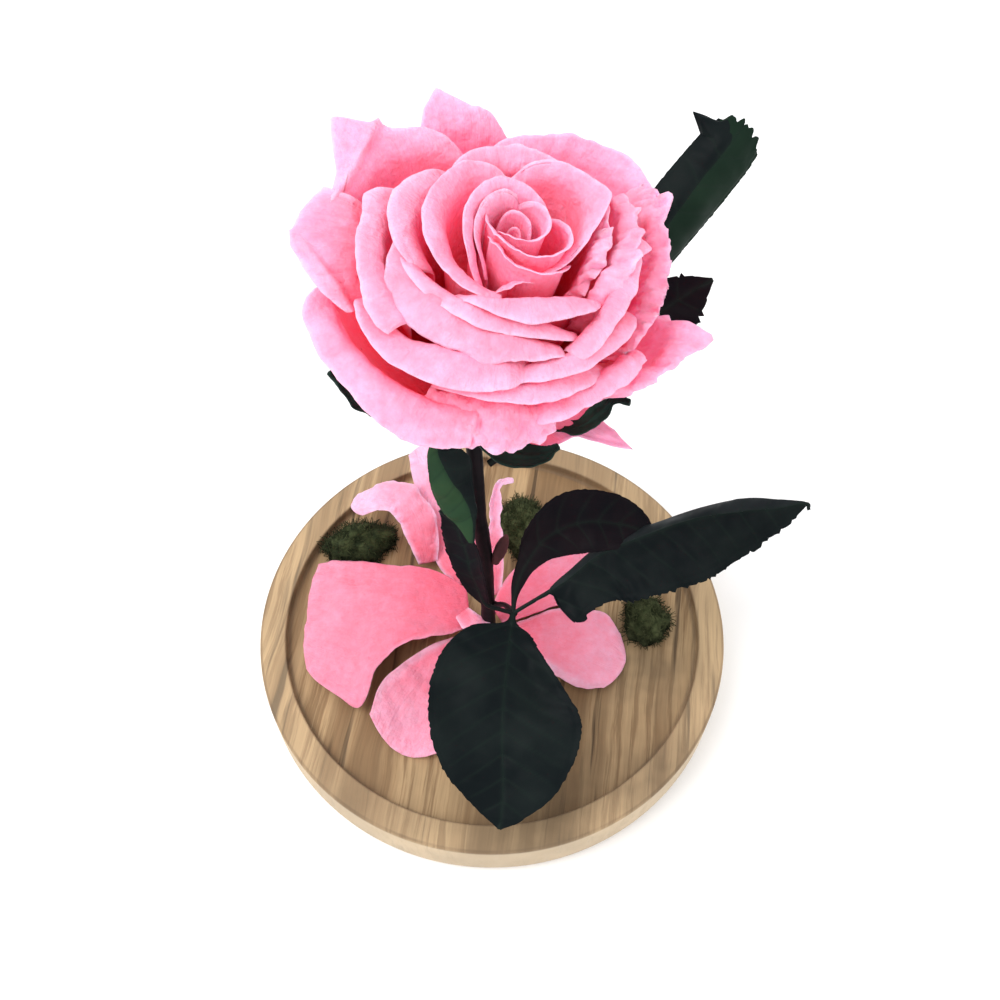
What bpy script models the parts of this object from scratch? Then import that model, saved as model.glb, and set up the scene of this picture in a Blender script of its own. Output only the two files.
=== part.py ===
# A preserved rose standing on a round wooden base, with loose petals and moss round its foot.
# Lengths below are millimetres and angles are degrees; MM turns them into metres.
# The origin is the centre of the base's underside. +X is right, +Y is back and +Z is up.
import math

import bmesh
import bpy
import numpy as np
from mathutils import Matrix, Vector

MM = 0.001

# Wooden base
BASE_RADIUS = 60.0
BASE_HEIGHT = 14.0
RIM_WIDTH = 6.6
RECESS_DEPTH = 3.0
BASE_EDGE = 1.6
BASE_SIDES = 64
GAP = 0.3  # left between pieces that touch

FLOOR = BASE_HEIGHT - RECESS_DEPTH

# Stem, from the recess floor to the hip: x, y, z and radius
STEM = [
    (-1.1, 0.0, FLOOR + GAP, 2.0),
    (-1.2, 0.2, 26.0, 1.8),
    (-1.7, 0.6, 44.0, 1.8),
    (-3.0, 1.2, 62.0, 1.7),
    (-3.6, 2.4, 78.0, 1.7),
    (-4.4, 6.2, 90.0, 1.9),
    (-3.82, 5.82, 95.6, 2.1),
]
STEM_SIDES = 10
SHOOT = [(1.2, 0.2, 43.4, 1.0), (1.7, 0.1, 47.5, 1.5), (2.6, -0.2, 52.0, 1.2), (3.2, -0.4, 55.0, 0.6)]

# Flower head: the middle of the hip's top, and how far the head leans
HEAD_PLACE = (-2.5, 4.0, 105.0)
HEAD_LEAN_RIGHT = 8.0
HEAD_LEAN_FRONT = 11.0
HIP_RADIUS = 6.6
HIP_HEIGHT = 9.2

# Petals of the head, in the head's own frame: azimuth 0 is right, 90 back, 180 left, 270 front.
PETAL_THICKNESS = 0.5
PETAL_SPACING = 0.75  # between the middles of two petals that lie on each other
PETAL_FOOT_RADIUS = 1.2
PETAL_FOOT_HEIGHT = 0.8
PETAL_STEPS = (0.0, 0.36, 0.7, 1.0)  # rows of points from foot to crest, as shares of the length
# One line for each petal, innermost first. "span" is the azimuth of its two sides and "rim" the radius and
# height of its crest from one side to the other. At the crest it folds outwards with the radius "fold" until
# it points "turn" degrees away from up, and then runs on for the length "lip". "tip" is how much longer the
# lip is at its point, and where across. "corner" is how far its two sides drop below the crest.
PETALS = [
    dict(span=(-60, 150), rim=[(2.0, 41), (1.6, 42), (2.0, 42.8), (2.6, 42.3)], fold=0.3, turn=30, lip=0.2),
    dict(span=(-30, 165), rim=[(3.4, 43), (3.4, 44), (4.0, 44.5), (4.0, 44.3)], fold=0.3, turn=40, lip=0.3),
    dict(
        span=(-75, 100), rim=[(4.0, 43.8), (4.9, 45), (5.2, 45.8), (5.5, 46.2), (6.0, 46.0)],
        fold=0.4, turn=50, lip=0.8, corner=(0.1, 0.1),
    ),
    dict(
        span=(160, 392), rim=[(5.3, 45.4), (3.9, 45.4), (4.4, 45), (6.6, 44.6), (9.1, 44.4), (7.2, 44.4)],
        fold=0.5, turn=75, lip=0.7, corner=(0.02, 0.12),
    ),
    dict(
        span=(205, 350), rim=[(4.9, 44.2), (4.9, 43.8), (6.8, 43.4), (9.4, 42.8), (10.2, 42.4)],
        fold=0.5, turn=80, lip=0.9, corner=(0.0, 0.1),
    ),
    dict(
        span=(72, 214), rim=[(6.6, 45.6), (6.9, 46.2), (7.1, 45.8), (7.6, 44.4), (9.2, 41)],
        fold=0.4, turn=50, lip=0.4, corner=(0.1, 0.1),
    ),
    dict(
        span=(56, 222), rim=[(7.2, 45.6), (8.1, 46.8), (8.3, 46.6), (9.0, 45), (11.2, 41)],
        fold=0.7, turn=70, lip=0.5, corner=(0.06, 0.1),
    ),
    dict(
        span=(-108, 100),
        rim=[(10.2, 40.0), (8.8, 41.0), (9.6, 41.8), (11.4, 42.8), (13.4, 44), (15.8, 44.5), (15.0, 45), (11.6, 44)],
        fold=0.6, turn=50, lip=0.6, tip=(3.0, 0.22), corner=(0.04, 0.1),
    ),
    dict(
        span=(82, 262), rim=[(12.6, 43), (15.2, 44.4), (14.8, 44.2), (13.6, 43), (12.0, 41), (10.8, 39.6)],
        fold=1.5, turn=80, lip=0.7, corner=(0.1, 0.02),
    ),
    dict(
        span=(226, 334), rim=[(12.6, 39.6), (11.7, 41.0), (11.7, 41.2), (13.0, 41.4), (16.4, 41.8)],
        fold=1.4, turn=(80, 105, 100), lip=(0.6, 3.0, 2.4), corner=(0.05, 0.1),
    ),
    dict(
        span=(203, 312), rim=[(14.0, 38.6), (13.0, 39.0), (13.2, 39.2), (14.2, 39.4), (17.4, 39.8)],
        fold=1.4, turn=(95, 110, 110), lip=(1.2, 2.0, 1.6), corner=(0.02, 0.1),
    ),
    dict(
        span=(118, 200), rim=[(16.2, 42.4), (16.8, 42.4), (16.8, 41.6), (14.2, 40.2)],
        fold=1.8, turn=85, lip=(1.6, 2.6, 1.2), corner=(0.12, 0.05),
    ),
    dict(
        span=(42, 138), rim=[(16.4, 42.4), (17.0, 42.8), (17.0, 42.8), (16.6, 42.8)],
        fold=1.4, turn=(70, 85, 80), lip=(1.0, 2.0, 1.2), corner=(0.1, 0.1),
    ),
    dict(
        span=(178, 300), rim=[(17.0, 39.6), (15.8, 38.8), (14.8, 38.0), (14.8, 37.8), (15.8, 37.9), (18.4, 38.4)],
        fold=1.8, turn=(90, 115, 128, 120), lip=(2.6, 6.6, 5.0, 3.8, 1.6), tip=(1.6, 0.25), corner=(0.02, 0.06),
    ),
    dict(
        span=(154, 218), rim=[(22.4, 40.6), (22.6, 40.2), (21.8, 39.0), (20.6, 37.4)],
        fold=1.6, turn=(80, 95, 115), lip=(2.0, 3.0, 3.0), tip=(1.4, -0.67), corner=(0.1, 0.05),
    ),
    dict(
        span=(292, 374), rim=[(18.8, 37.4), (18.6, 38.6), (19.2, 40.2), (20.2, 41.5)],
        fold=1.4, turn=(115, 110, 95), lip=(2.6, 3.6, 1.8), corner=(0.05, 0.1),
    ),
    dict(
        span=(200, 284), rim=[(22.8, 36.2), (21.2, 35.2), (19.8, 34.6), (18.8, 34.2)],
        fold=1.4, turn=(100, 115, 115), lip=(1.2, 2.4, 1.6),
    ),
    dict(
        span=(-30, 62), rim=[(16.0, 40.4), (16.2, 42.0), (16.6, 42.6), (17.4, 42.4)], across=12,
        fold=0.7, turn=(80, 70, 70), lip=(1.4, 1.2, 1.0), wave=(0.9, 3),
    ),
    dict(
        span=(262, 350), rim=[(18.8, 34.6), (19.2, 35.0), (20.4, 36.4), (22.2, 38.4)],
        fold=1.2, turn=(110, 115, 105), lip=(1.6, 3.2, 2.6),
    ),
    dict(
        span=(-32, 50), rim=[(19.2, 39.2), (19.4, 41.0), (19.6, 41.4), (20.8, 41.4)], across=12,
        fold=0.7, turn=(115, 100, 80), lip=(2.6, 1.6, 1.0), wave=(0.9, 3),
    ),
    dict(
        span=(238, 326), rim=[(21.6, 31.0), (20.6, 31.6), (21.0, 32.4), (22.6, 33.8)], base=0.5,
        fold=1.2, turn=(110, 120, 110), lip=(0.6, 3.0, 2.0),
    ),
    dict(
        span=(20, 108), rim=[(28.6, 38.6), (26.8, 39.6), (23.2, 40.2), (20.4, 40.8)],
        bowl=1.3, flare=0.5, turn=(80, 85, 80), lip=(1.0, 1.4, 1.0), corner=(0.05, 0.12),
    ),
    dict(
        span=(-34, 40), rim=[(22.0, 34), (22.4, 37), (25.2, 38.6), (29.4, 38.6)],
        turn=(70, 75, 80), lip=(1.0, 1.4, 1.6), tip=(3.0, 0.67), corner=(0.1, 0.02),
    ),
    dict(
        span=(110, 178), rim=[(21.6, 41.0), (25.4, 41.2), (29.0, 40.6), (29.8, 39.4), (28.6, 37.0)],
        bowl=1.3, flare=0.5, turn=(80, 70, 60), lip=(1.6, 1.6, 1.2), tip=(5.4, 0.0), corner=(0.1, 0.05),
    ),
    dict(
        span=(86, 128), rim=[(25.0, 39.6), (27.4, 40.4), (28.6, 39.8)],
        bowl=1.3, flare=0.5, turn=60, lip=1.4, tip=(4.6, 0.33), corner=(0.15, 0.15),
    ),
    dict(
        span=(162, 208), rim=[(30.6, 37), (31.4, 36.6), (31.2, 35.2), (28.6, 33)], base=0.5,
        turn=(90, 110, 100), lip=(2.4, 3.0, 2.8), corner=(0.05, 0.05),
    ),
    dict(
        span=(178, 252), rim=[(31.0, 30.5), (28.2, 28.6), (26.2, 26.8), (23.6, 25.4)], base=0.8,
        turn=(110, 125, 130, 110), lip=(3.4, 4.6, 3.4, 0.6), corner=(0.05, 0.02),
    ),
    dict(
        span=(280, 342), rim=[(22.4, 28.6), (23.4, 30), (24.8, 31.6), (26.0, 32.6)],
        turn=(130, 130, 110), lip=(4.6, 4.0, 3.0),
    ),
    dict(
        span=(232, 296), rim=[(24.6, 27.8), (22.8, 28.6), (22.0, 28.2), (22.6, 27.0)], base=0.85,
        fold=1.4, turn=(125, 145, 140), lip=(3.0, 5.8, 5.8, 2.6), tip=(1.6, 0.33), corner=(0.02, 0.1),
    ),
    dict(
        span=(-52, -2), rim=[(25.4, 27), (28.6, 28.2), (32.2, 29), (32.6, 30)], across=10,
        bowl=1.4, flare=0.4, turn=80, lip=(2.0, 2.4, 2.0), tip=(3.4, 0.4), wave=(0.6, 2.5),
    ),
    dict(
        span=(288, 324), rim=[(22.6, 13.5), (25.0, 14.5), (29.0, 17)],
        bowl=1.2, flare=0.6, turn=80, lip=1.5, tip=(3.4, 0.67),
    ),
]

# Flat things follow a middle line. Each station is x, y, z, the width to the left and to the right of the
# line, and how far the left and right edges stand above it.
LEAF_THICKNESS = 0.6
LEAVES = dict(
    leaflet_front=dict(
        up=(0.0, -0.35, 1.0), rows=12, across=4, teeth=0.5,
        line=[(4.6, -14.5, 42, 0.8, 0.8, 0, 0), (3.8, -21, 42.5, 10, 9, 1.0, 1.5), (2.8, -33, 39.5, 17, 16, 1.5, 2.5),
              (2.6, -44, 34.5, 15.5, 15.5, 1.5, 1.5), (2.8, -52.5, 30.2, 9, 9, 0.8, 0.8), (3.0, -58.5, 27.5, 0.8, 0.8, 0, 0)],
    ),
    leaflet_right=dict(
        up=(-0.35, -0.6, 1.0), rows=14, across=4, teeth=0.6,
        line=[(7.4, -12.8, 41.5, 0.7, 0.7, 0, 0), (12.6, -11.2, 44.5, 0.8, 1.0, 0, 0), (17.5, -12.2, 47.5, 4.4, 6.6, 1, 0.5),
              (27, -11.4, 53, 6.4, 6.6, 2, 1), (38, -9.2, 59, 7.4, 6.6, 2.5, 1), (49, -7.6, 65, 6, 5.4, 2, 1),
              (59, -5.8, 70, 3.4, 3.4, 1, 0.6), (67, -4, 74.5, 0.8, 0.8, 0, 0)],
    ),
    leaflet_back_right=dict(
        up=(0.0, -0.3, 1.0), rows=10, across=4, teeth=0.5,
        line=[(6.4, -10.8, 43, 0.8, 0.8, 0, 0), (8, -6, 47, 1.4, 1.4, 0, 0), (12.0, 0.5, 51, 6, 5.5, 0.5, -1),
              (21, 3.0, 54, 8, 8, 0.5, -1), (32, 2, 54.5, 6.5, 6.5, 0, 0), (39, -0.6, 54, 0.8, 0.8, 0, 0)],
    ),
    leaflet_left=dict(
        up=(-0.5, -1.0, 0.2), rows=10, across=4, teeth=0.5,
        line=[(3.2, -12.9, 40.5, 0.7, 0.7, 0, 0), (-1.0, -12.4, 40.6, 0.8, 0.8, 0, 0), (-3.6, -11.0, 47, 3.6, 3.0, 0.6, 0.6),
              (-4.9, -8.8, 54, 5.0, 4.4, 1, 1), (-7.8, -5.6, 61, 4.2, 4.0, 0.8, 0.8), (-11, -2, 66, 0.8, 0.8, 0, 0)],
    ),
    leaf_upper_left=dict(
        up=(0.2, -1.0, 0.5), rows=10, across=4, teeth=0.4,
        line=[(-6.8, 1.0, 91, 0.8, 0.8, 0, 0), (-9.6, -1.6, 88, 2.8, 3.4, 0, -0.5), (-8.8, -4.8, 80, 3.2, 4.6, 0.2, -2.0),
              (-6.7, -7.8, 73, 2.6, 3.6, 0.2, -1.4), (-3.3, -10.0, 66, 0.8, 0.8, 0, 0)],
    ),
    leaf_upper_right=dict(
        up=(0.35, -0.55, 0.75), rows=12, across=6, teeth=0.4,
        line=[(-1.0, 4.6, 84, 0.8, 0.8, 0, 0), (12, 13, 97, 0.9, 0.9, 0, 0), (24, 23, 108, 5, 5, -2.5, -2.5),
              (34, 32, 118, 6.2, 6.2, -4.5, -4.5), (43, 40, 127, 6.2, 6.2, -4.5, -4.5), (48, 44.5, 132, 5.4, 5.4, -3.5, -3.5)],
    ),
    leaf_right_serrated=dict(
        up=(0.0, -0.7, 0.7), rows=12, across=4, teeth=0.8,
        line=[(-0.8, 2.4, 78.6, 0.8, 0.8, 0, 0), (12, 6.6, 88, 0.9, 0.9, 0, 0), (23, 14.2, 99.6, 4.4, 6.0, 0, 0),
              (33, 17.4, 109.4, 6.8, 6.6, 0, 0), (41.4, 16.6, 116.6, 0.8, 0.8, 0, 0)],
    ),
)
LEAF_STALK = [(0.9, -0.9, 24.0, 0.7), (3.0, -6.0, 33.0, 0.7), (4.6, -11.4, 40.0, 0.8)]

FALLEN_PETALS = dict(
    fallen_petal_left=dict(
        line=[(-6.5, 6.5, 14.5, 4, 4, 0, 0), (-15, 5.0, 17, 10, 11, -0.5, -1), (-24.5, 2.6, 18, 12.5, 13, -0.5, -2),
              (-34, 1.0, 18, 20, 15, -4, -2), (-41, 0.4, 17, 21, 15.6, -4.5, -1.5), (-46.5, 0.4, 15.6, 14, 16, -2, -1)],
    ),
    fallen_petal_lower_left=dict(
        line=[(-4.5, -4.5, 12.5, 2.4, 2.4, 0, 0), (-10, -13, 13.5, 7, 8, 2, 2), (-16, -25, 13, 11, 12, 3, 4),
              (-21, -34, 12.2, 9, 11, 1.5, 2)],
    ),
    fallen_petal_right=dict(
        line=[(5.5, -2.5, 12.6, 2.4, 2.4, 0, 0), (17, -4.5, 14, 9, 10, 1, 1.5), (27, -8, 14, 11, 12, 1, 1),
              (34, -11, 12.6, 6, 6, 0.5, 0.5)],
    ),
    fallen_petal_back=dict(
        line=[(5.6, 3.6, 12.4, 2.2, 2.2, 0, 0), (13, 9, 14, 8, 6, 1, 1), (22, 15, 14, 9, 8, 1, 1),
              (28, 20, 12.6, 5, 4, 0.5, 0.5)],
    ),
    fallen_petal_back_narrow=dict(
        line=[(1.0, 8.5, 12.4, 1.4, 1.4, 0, 0), (0.6, 20, 20, 2.8, 2.6, 1, 1), (0.8, 32, 24, 2.8, 2.6, 1, 1),
              (3.4, 39, 24, 2.0, 2.0, 0, 0)],
    ),
    fallen_petal_curled=dict(
        line=[(-15, 17.5, 14.0, 2.5, 2.5, 0, 0), (-18, 22, 20.5, 5, 5, -1.0, -1.0), (-21, 26.5, 27, 5.6, 5.6, -1.5, -1.5),
              (-27.5, 29, 28, 4.8, 5.2, -1.5, -1.5), (-35.5, 28, 22.5, 3.4, 3.4, -1, -1)],
    ),
    fallen_petal_back_left=dict(
        line=[(-6.5, 20, 12.6, 2, 2, 0, 0), (-10, 29, 18, 5.5, 6, -0.5, 0.5), (-16, 40, 24.5, 6.6, 7.5, -0.5, 0.5),
              (-19.5, 47, 27.5, 4, 4.5, 0, 0)],
    ),
    fallen_petal_small=dict(
        line=[(-8, -0.5, 15.5, 1.6, 1.6, 0, 0), (-3.5, -5.0, 17.4, 3, 3, -1.5, -1.5), (3, -8, 16, 2, 2, -1, -1)],
    ),
)

# Sepals hang from the hip: radius, azimuth and height of the middle line, and the half width, in the head's frame
SEPALS = dict(
    sepal_left=dict(line=[(7.6, 208, -1.2, 2.4), (15, 212, 2.4, 2.8), (23, 214, 8.4, 2.4), (30, 210, 16, 1.8), (33.5, 199, 25, 0.7)]),
    sepal_front=dict(line=[(7.6, 278, -1.4, 3.0), (14, 281, 0.8, 5.2), (19.5, 284, 4.0, 5.0), (23.5, 287, 8, 1.4)]),
    sepal_right=dict(line=[(7.6, 318, -1.4, 2.4), (15, 320, 2.2, 3.4), (23, 325, 8, 3.0), (29.5, 333, 14.5, 0.9)]),
    sepal_back=dict(line=[(7.6, 60, -1.4, 2.6), (15, 58, 1.0, 3.4), (22, 56, 4, 2.6), (29, 55, 3, 0.7)]),
    sepal_back_left=dict(line=[(7.6, 130, -1.4, 2.6), (15, 132, 1.0, 3.4), (22, 134, 3, 2.6), (28, 136, 1, 0.7)]),
)

# Moss tufts: x, y, half size along X, half size along Y, height, turn
MOSS = dict(
    moss_left=(-36.0, 24.0, 11.0, 6.5, 7.5, 20.0),
    moss_back=(8.5, 31.5, 6.4, 9.5, 7.5, 0.0),
    moss_right=(41.0, 2.5, 6.0, 7.0, 5.5, 0.0),
)

COLOURS = dict(
    wood=((0.55, 0.37, 0.20), 0.6),
    petal=((0.95, 0.26, 0.38), 0.6),
    leaf=((0.012, 0.02, 0.018), 0.45),
    stem=((0.012, 0.014, 0.012), 0.6),
    hip=((0.03, 0.07, 0.04), 0.5),
    moss=((0.05, 0.08, 0.02), 0.9),
)


def clear_scene():
    for thing in list(bpy.data.objects):
        bpy.data.objects.remove(thing, do_unlink=True)


def make_material(name):
    colour, roughness = COLOURS[name]
    material = bpy.data.materials.new(name)
    material.use_nodes = True
    shader = material.node_tree.nodes["Principled BSDF"]
    shader.inputs["Base Color"].default_value = (*colour, 1.0)
    shader.inputs["Roughness"].default_value = roughness
    shader.inputs["Metallic"].default_value = 0.0
    return material


def add_object(name, mesh, material, parent=None):
    thing = bpy.data.objects.new(name, mesh)
    bpy.context.scene.collection.objects.link(thing)
    mesh.materials.append(material)
    mesh.shade_smooth()
    thing.parent = parent
    return thing


def mesh_from_grid(name, grid):
    """A four-sided sheet from rows of points, in millimetres."""
    rows, columns = grid.shape[:2]
    faces = [
        (r * columns + c, r * columns + c + 1, (r + 1) * columns + c + 1, (r + 1) * columns + c)
        for r in range(rows - 1)
        for c in range(columns - 1)
    ]
    mesh = bpy.data.meshes.new(name)
    mesh.from_pydata((grid.reshape(-1, 3) * MM).tolist(), [], faces)
    return mesh


def add_sheet(name, grid, thickness, material, parent=None):
    """A thin closed solid: the sheet given its thickness to both sides."""
    thing = add_object(name, mesh_from_grid(name, grid), material, parent)
    solidify = thing.modifiers.new("thickness", "SOLIDIFY")
    solidify.thickness = thickness * MM
    solidify.offset = 0.0
    solidify.use_even_offset = False
    return thing


def smooth_through(values, where):
    """Values at evenly spaced knots, read by a smooth curve at positions from 0 to 1."""
    values = np.asarray(values, float)
    padded = np.concatenate([[2 * values[0] - values[1]], values, [2 * values[-1] - values[-2]]])
    at = np.clip(where, 0.0, 1.0) * (len(values) - 1)
    knot = np.minimum(at.astype(int), len(values) - 2)
    t = at - knot
    if values.ndim > 1:
        t = t[..., None]
    a, b, c, d = (padded[knot + k] for k in range(4))
    return 0.5 * (2 * b + (c - a) * t + (2 * a - 5 * b + 4 * c - d) * t**2 + (3 * b - 3 * c + d - a) * t**3)


def turned(name, profile, sides, material, parent=None):
    """A solid of revolution about Z from radius and height pairs that start and end on the axis."""
    form = bmesh.new()
    points = [form.verts.new((radius * MM, 0.0, height * MM)) for radius, height in profile]
    edges = [form.edges.new(pair) for pair in zip(points, points[1:])]
    bmesh.ops.spin(
        form, geom=points + edges, cent=(0, 0, 0), axis=(0, 0, 1), angle=2 * math.pi, steps=sides, use_duplicate=False
    )
    bmesh.ops.remove_doubles(form, verts=form.verts, dist=1e-6)
    bmesh.ops.recalc_face_normals(form, faces=form.faces)
    mesh = bpy.data.meshes.new(name)
    form.to_mesh(mesh)
    form.free()
    return add_object(name, mesh, material, parent)


def tube(name, stations, sides, material):
    """A closed round rod through points with their own radii."""
    stations = np.asarray(stations, float)
    count = 2 * len(stations)
    read = smooth_through(stations, np.linspace(0, 1, count))
    middle, radius = read[:, :3], read[:, 3]
    along = np.gradient(middle, axis=0)
    along /= np.linalg.norm(along, axis=1)[:, None]
    side = np.cross(along, (0.0, 1.0, 0.0))
    side /= np.linalg.norm(side, axis=1)[:, None]
    other = np.cross(along, side)
    angle = np.linspace(0, 2 * math.pi, sides, endpoint=False)
    rings = (
        middle[:, None]
        + radius[:, None, None] * (np.cos(angle)[:, None] * side[:, None] + np.sin(angle)[:, None] * other[:, None])
    )
    faces = [tuple(range(sides))[::-1], tuple(range((count - 1) * sides, count * sides))]
    for r in range(count - 1):
        for c in range(sides):
            n = (c + 1) % sides
            faces.append((r * sides + c, r * sides + n, (r + 1) * sides + n, (r + 1) * sides + c))
    mesh = bpy.data.meshes.new(name)
    mesh.from_pydata((rings.reshape(-1, 3) * MM).tolist(), [], faces)
    form = bmesh.new()
    form.from_mesh(mesh)
    bmesh.ops.recalc_face_normals(form, faces=form.faces)
    form.to_mesh(mesh)
    form.free()
    return add_object(name, mesh, material)


class Nest:
    """Where the petals laid so far are: the furthest out at each azimuth and height, and the lowest at each
    azimuth and radius."""

    azimuth_step = 3.0
    step = 0.7
    lowest = -6.0

    def __init__(self):
        self.reach = np.full((round(360 / self.azimuth_step), 96), -1.0)
        self.ceiling = np.full((round(360 / self.azimuth_step), 96), 99.0)

    def cells(self, azimuth, other):
        column = np.floor(azimuth / self.azimuth_step).astype(int) % self.reach.shape[0]
        return column, np.clip(np.floor((other - self.lowest) / self.step).astype(int), 0, self.reach.shape[1] - 1)

    def near(self, table, azimuth, other, choose):
        column, row = self.cells(azimuth, other)
        found = table[column, row]
        for side in (-1, 0, 1):
            for step in (-1, 0, 1):
                cell = table[(column + side) % table.shape[0], np.clip(row + step, 0, table.shape[1] - 1)]
                found = choose(found, cell)
        return found

    def lay(self, grid):
        """Marks a petal's sheet, read finely between its points."""
        x, y, z = np.moveaxis(between(grid, 14), -1, 0)
        azimuth, radius = np.degrees(np.arctan2(y, x)), np.hypot(x, y)
        np.maximum.at(self.reach, self.cells(azimuth, z), radius)
        np.minimum.at(self.ceiling, self.cells(azimuth, radius), z)


def between(grid, fine):
    """The flat-sided sheet through a grid's points, read at fine steps in each of its cells."""
    rows, columns = grid.shape[:2]
    r = np.linspace(0, rows - 1, (rows - 1) * fine + 1)
    c = np.linspace(0, columns - 1, (columns - 1) * fine + 1)
    i, j = np.minimum(r.astype(int), rows - 2), np.minimum(c.astype(int), columns - 2)
    a, b = (r - i)[:, None, None], (c - j)[None, :, None]
    corner = lambda down, along: grid[np.ix_(i + down, j + along)]
    return (1 - a) * ((1 - b) * corner(0, 0) + b * corner(0, 1)) + a * ((1 - b) * corner(1, 0) + b * corner(1, 1))


def petal_width(t, base):
    """Share of its full width that a petal has at a share t of its length."""
    return base + (1 - base) * np.sin(0.5 * np.pi * np.clip(t / 0.75, 0, 1)) ** 0.9


def across_values(value, share):
    """One number, or numbers spread from one side of the petal to the other."""
    return smooth_through(value, share) if isinstance(value, (list, tuple)) else np.full_like(share, value)


def petal_polar(petal, rank, across):
    """Azimuth, radius and height over a petal's sheet: foot to crest, round the fold and along the lip."""
    start, end = petal["span"]
    middle, half = (start + end) / 2, (end - start) / 2
    u = np.linspace(-1, 1, across + 1)
    share = (u + 1) / 2
    rim = smooth_through(petal["rim"], share)
    fold = petal.get("fold", 0.9)
    turn = np.radians(across_values(petal.get("turn", 60), share))
    tip_length, tip_place = petal.get("tip", (0.0, 0.0))
    lip = across_values(petal.get("lip", 0.8), share) + tip_length * np.clip(1 - np.abs(u - tip_place) / 0.42, 0, 1) ** 1.3
    lip = lip * (1 - 0.75 * u**6)
    foot_radius = PETAL_FOOT_RADIUS + 0.14 * rank
    bowl, flare = petal.get("bowl", 1.9), petal.get("flare", 0.25)
    left, right = petal.get("corner", (0.2, 0.2))
    corner = 1 - np.where(u < 0, left, right) * u**4
    reach, climb = rim[:, 0] - fold - foot_radius, rim[:, 1] - fold - PETAL_FOOT_HEIGHT
    azimuth, radius, height = [], [], []
    for step in PETAL_STEPS:
        t = corner * step
        rise = t**1.2
        out = (1 - flare) * (1 - (1 - rise) ** bowl) + flare * rise
        radius.append(foot_radius + reach * out)
        height.append(PETAL_FOOT_HEIGHT + climb * rise)
        azimuth.append(middle + half * u * petal_width(t, petal.get("base", 0.34)))
    lean = np.arctan2(reach * ((1 - flare) * bowl * (1 - rise) ** (bowl - 1) + flare), climb)
    turn = np.maximum(turn, lean + 0.1)
    for place, on in ((0.5, 0.0), (1.0, 0.0), (1.0, 1.0)):
        angle = lean + (turn - lean) * place
        azimuth.append(azimuth[-1])
        height.append(height[len(PETAL_STEPS) - 1] + fold * (np.sin(angle) - np.sin(lean)) + on * lip * np.cos(turn))
        radius.append(radius[len(PETAL_STEPS) - 1] + fold * (np.cos(lean) - np.cos(angle)) + on * lip * np.sin(turn))
    azimuth, radius, height = np.array(azimuth), np.array(radius), np.array(height)
    if "wave" in petal:
        amount, count = petal["wave"]
        radius += amount * np.linspace(0, 1, len(radius))[:, None] ** 2 * np.sin(2 * np.pi * count * share)
    return azimuth, radius, height


def settle(azimuth, radius, height, nest, spacing):
    """Moves a petal outwards, or its top part down under a lip, where it would lie in the petals inside it."""
    fine = 4
    radius, height = radius.copy(), height.copy()
    rows, columns = radius.shape
    low = 0.72 * height.max()
    for _ in range(16):
        slope = np.gradient(radius, axis=0) / np.maximum(np.abs(np.gradient(height, axis=0)), 0.3)
        sheet = between(np.stack([azimuth, radius, height, np.clip(slope, -2.0, 2.0)], axis=-1), fine)
        at, r, h, slope = np.moveaxis(sheet, -1, 0)
        out = nest.near(nest.reach, at, h, np.maximum) + spacing * np.sqrt(1 + slope**2) - r
        down = h - nest.near(nest.ceiling, at, r, np.minimum) + spacing * np.sqrt(1 + 1 / np.maximum(slope**2, 0.25))
        down = np.where(h > low, down, 99.0)
        moves = []
        for need in (np.where(out <= down, out, 0), np.where(out <= down, 0, down)):
            need = np.where((out > 0) & (down > 0), np.clip(need, 0, None), 0)
            push = np.zeros_like(radius)
            for i in range(-fine + 1, fine):
                for j in range(-fine + 1, fine):
                    weight = (1 - abs(i) / fine) * (1 - abs(j) / fine)
                    a, b = np.arange(rows) * fine + i, np.arange(columns) * fine + j
                    inside = ((a >= 0) & (a < need.shape[0]))[:, None] & ((b >= 0) & (b < need.shape[1]))[None]
                    found = need[np.clip(a, 0, need.shape[0] - 1)[:, None], np.clip(b, 0, need.shape[1] - 1)[None]]
                    push = np.maximum(push, np.where(inside, found * weight, 0))
            moves.append(push)
        if max(moves[0].max(), moves[1].max()) < 0.02:
            break
        radius += moves[0]
        height -= moves[1]
    return radius, height


def polar_points(azimuth, radius, height):
    turn = np.radians(azimuth)
    return np.stack([radius * np.cos(turn), radius * np.sin(turn), height], axis=-1)


def head_petals():
    """The petals' sheets, innermost first."""
    nest = Nest()
    sheets = []
    for rank, petal in enumerate(PETALS):
        wide = petal["span"][1] - petal["span"][0]
        azimuth, radius, height = petal_polar(petal, rank, petal.get("across", 8 if wide > 110 else 6))
        radius, height = settle(azimuth, radius, height, nest, PETAL_SPACING)
        sheet = polar_points(azimuth, radius, height)
        nest.lay(sheet)
        sheets.append(sheet)
    return sheets


def blade(line, up, rows, across, teeth=0.0):
    """A leaf or petal along a middle line, from its stations."""
    t = np.linspace(0, 1, rows + 1)
    read = smooth_through(line, t)
    middle = read[:, :3]
    left, right = np.maximum(read[:, 3], 0.6), np.maximum(read[:, 4], 0.6)
    if teeth:
        tooth = 1 + teeth / np.maximum(left, 3.0) * np.where(np.arange(rows + 1) % 2, 1.0, -0.4)
        inside = (left > 2.0) & (t > 0.15)
        left, right = np.where(inside, left * tooth, left), np.where(inside, right * tooth, right)
    along = np.gradient(middle, axis=0)
    along /= np.linalg.norm(along, axis=1)[:, None]
    side = np.cross(along, np.asarray(up, float))
    side /= np.linalg.norm(side, axis=1)[:, None]
    over = np.cross(side, along)
    grid = []
    for q in np.linspace(-1, 1, across + 1):
        width = np.where(q < 0, left, right) * q
        lift = np.where(q < 0, read[:, 5], read[:, 6]) * q * q
        grid.append(middle + width[:, None] * side + lift[:, None] * over)
    return np.stack(grid, axis=1)


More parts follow.
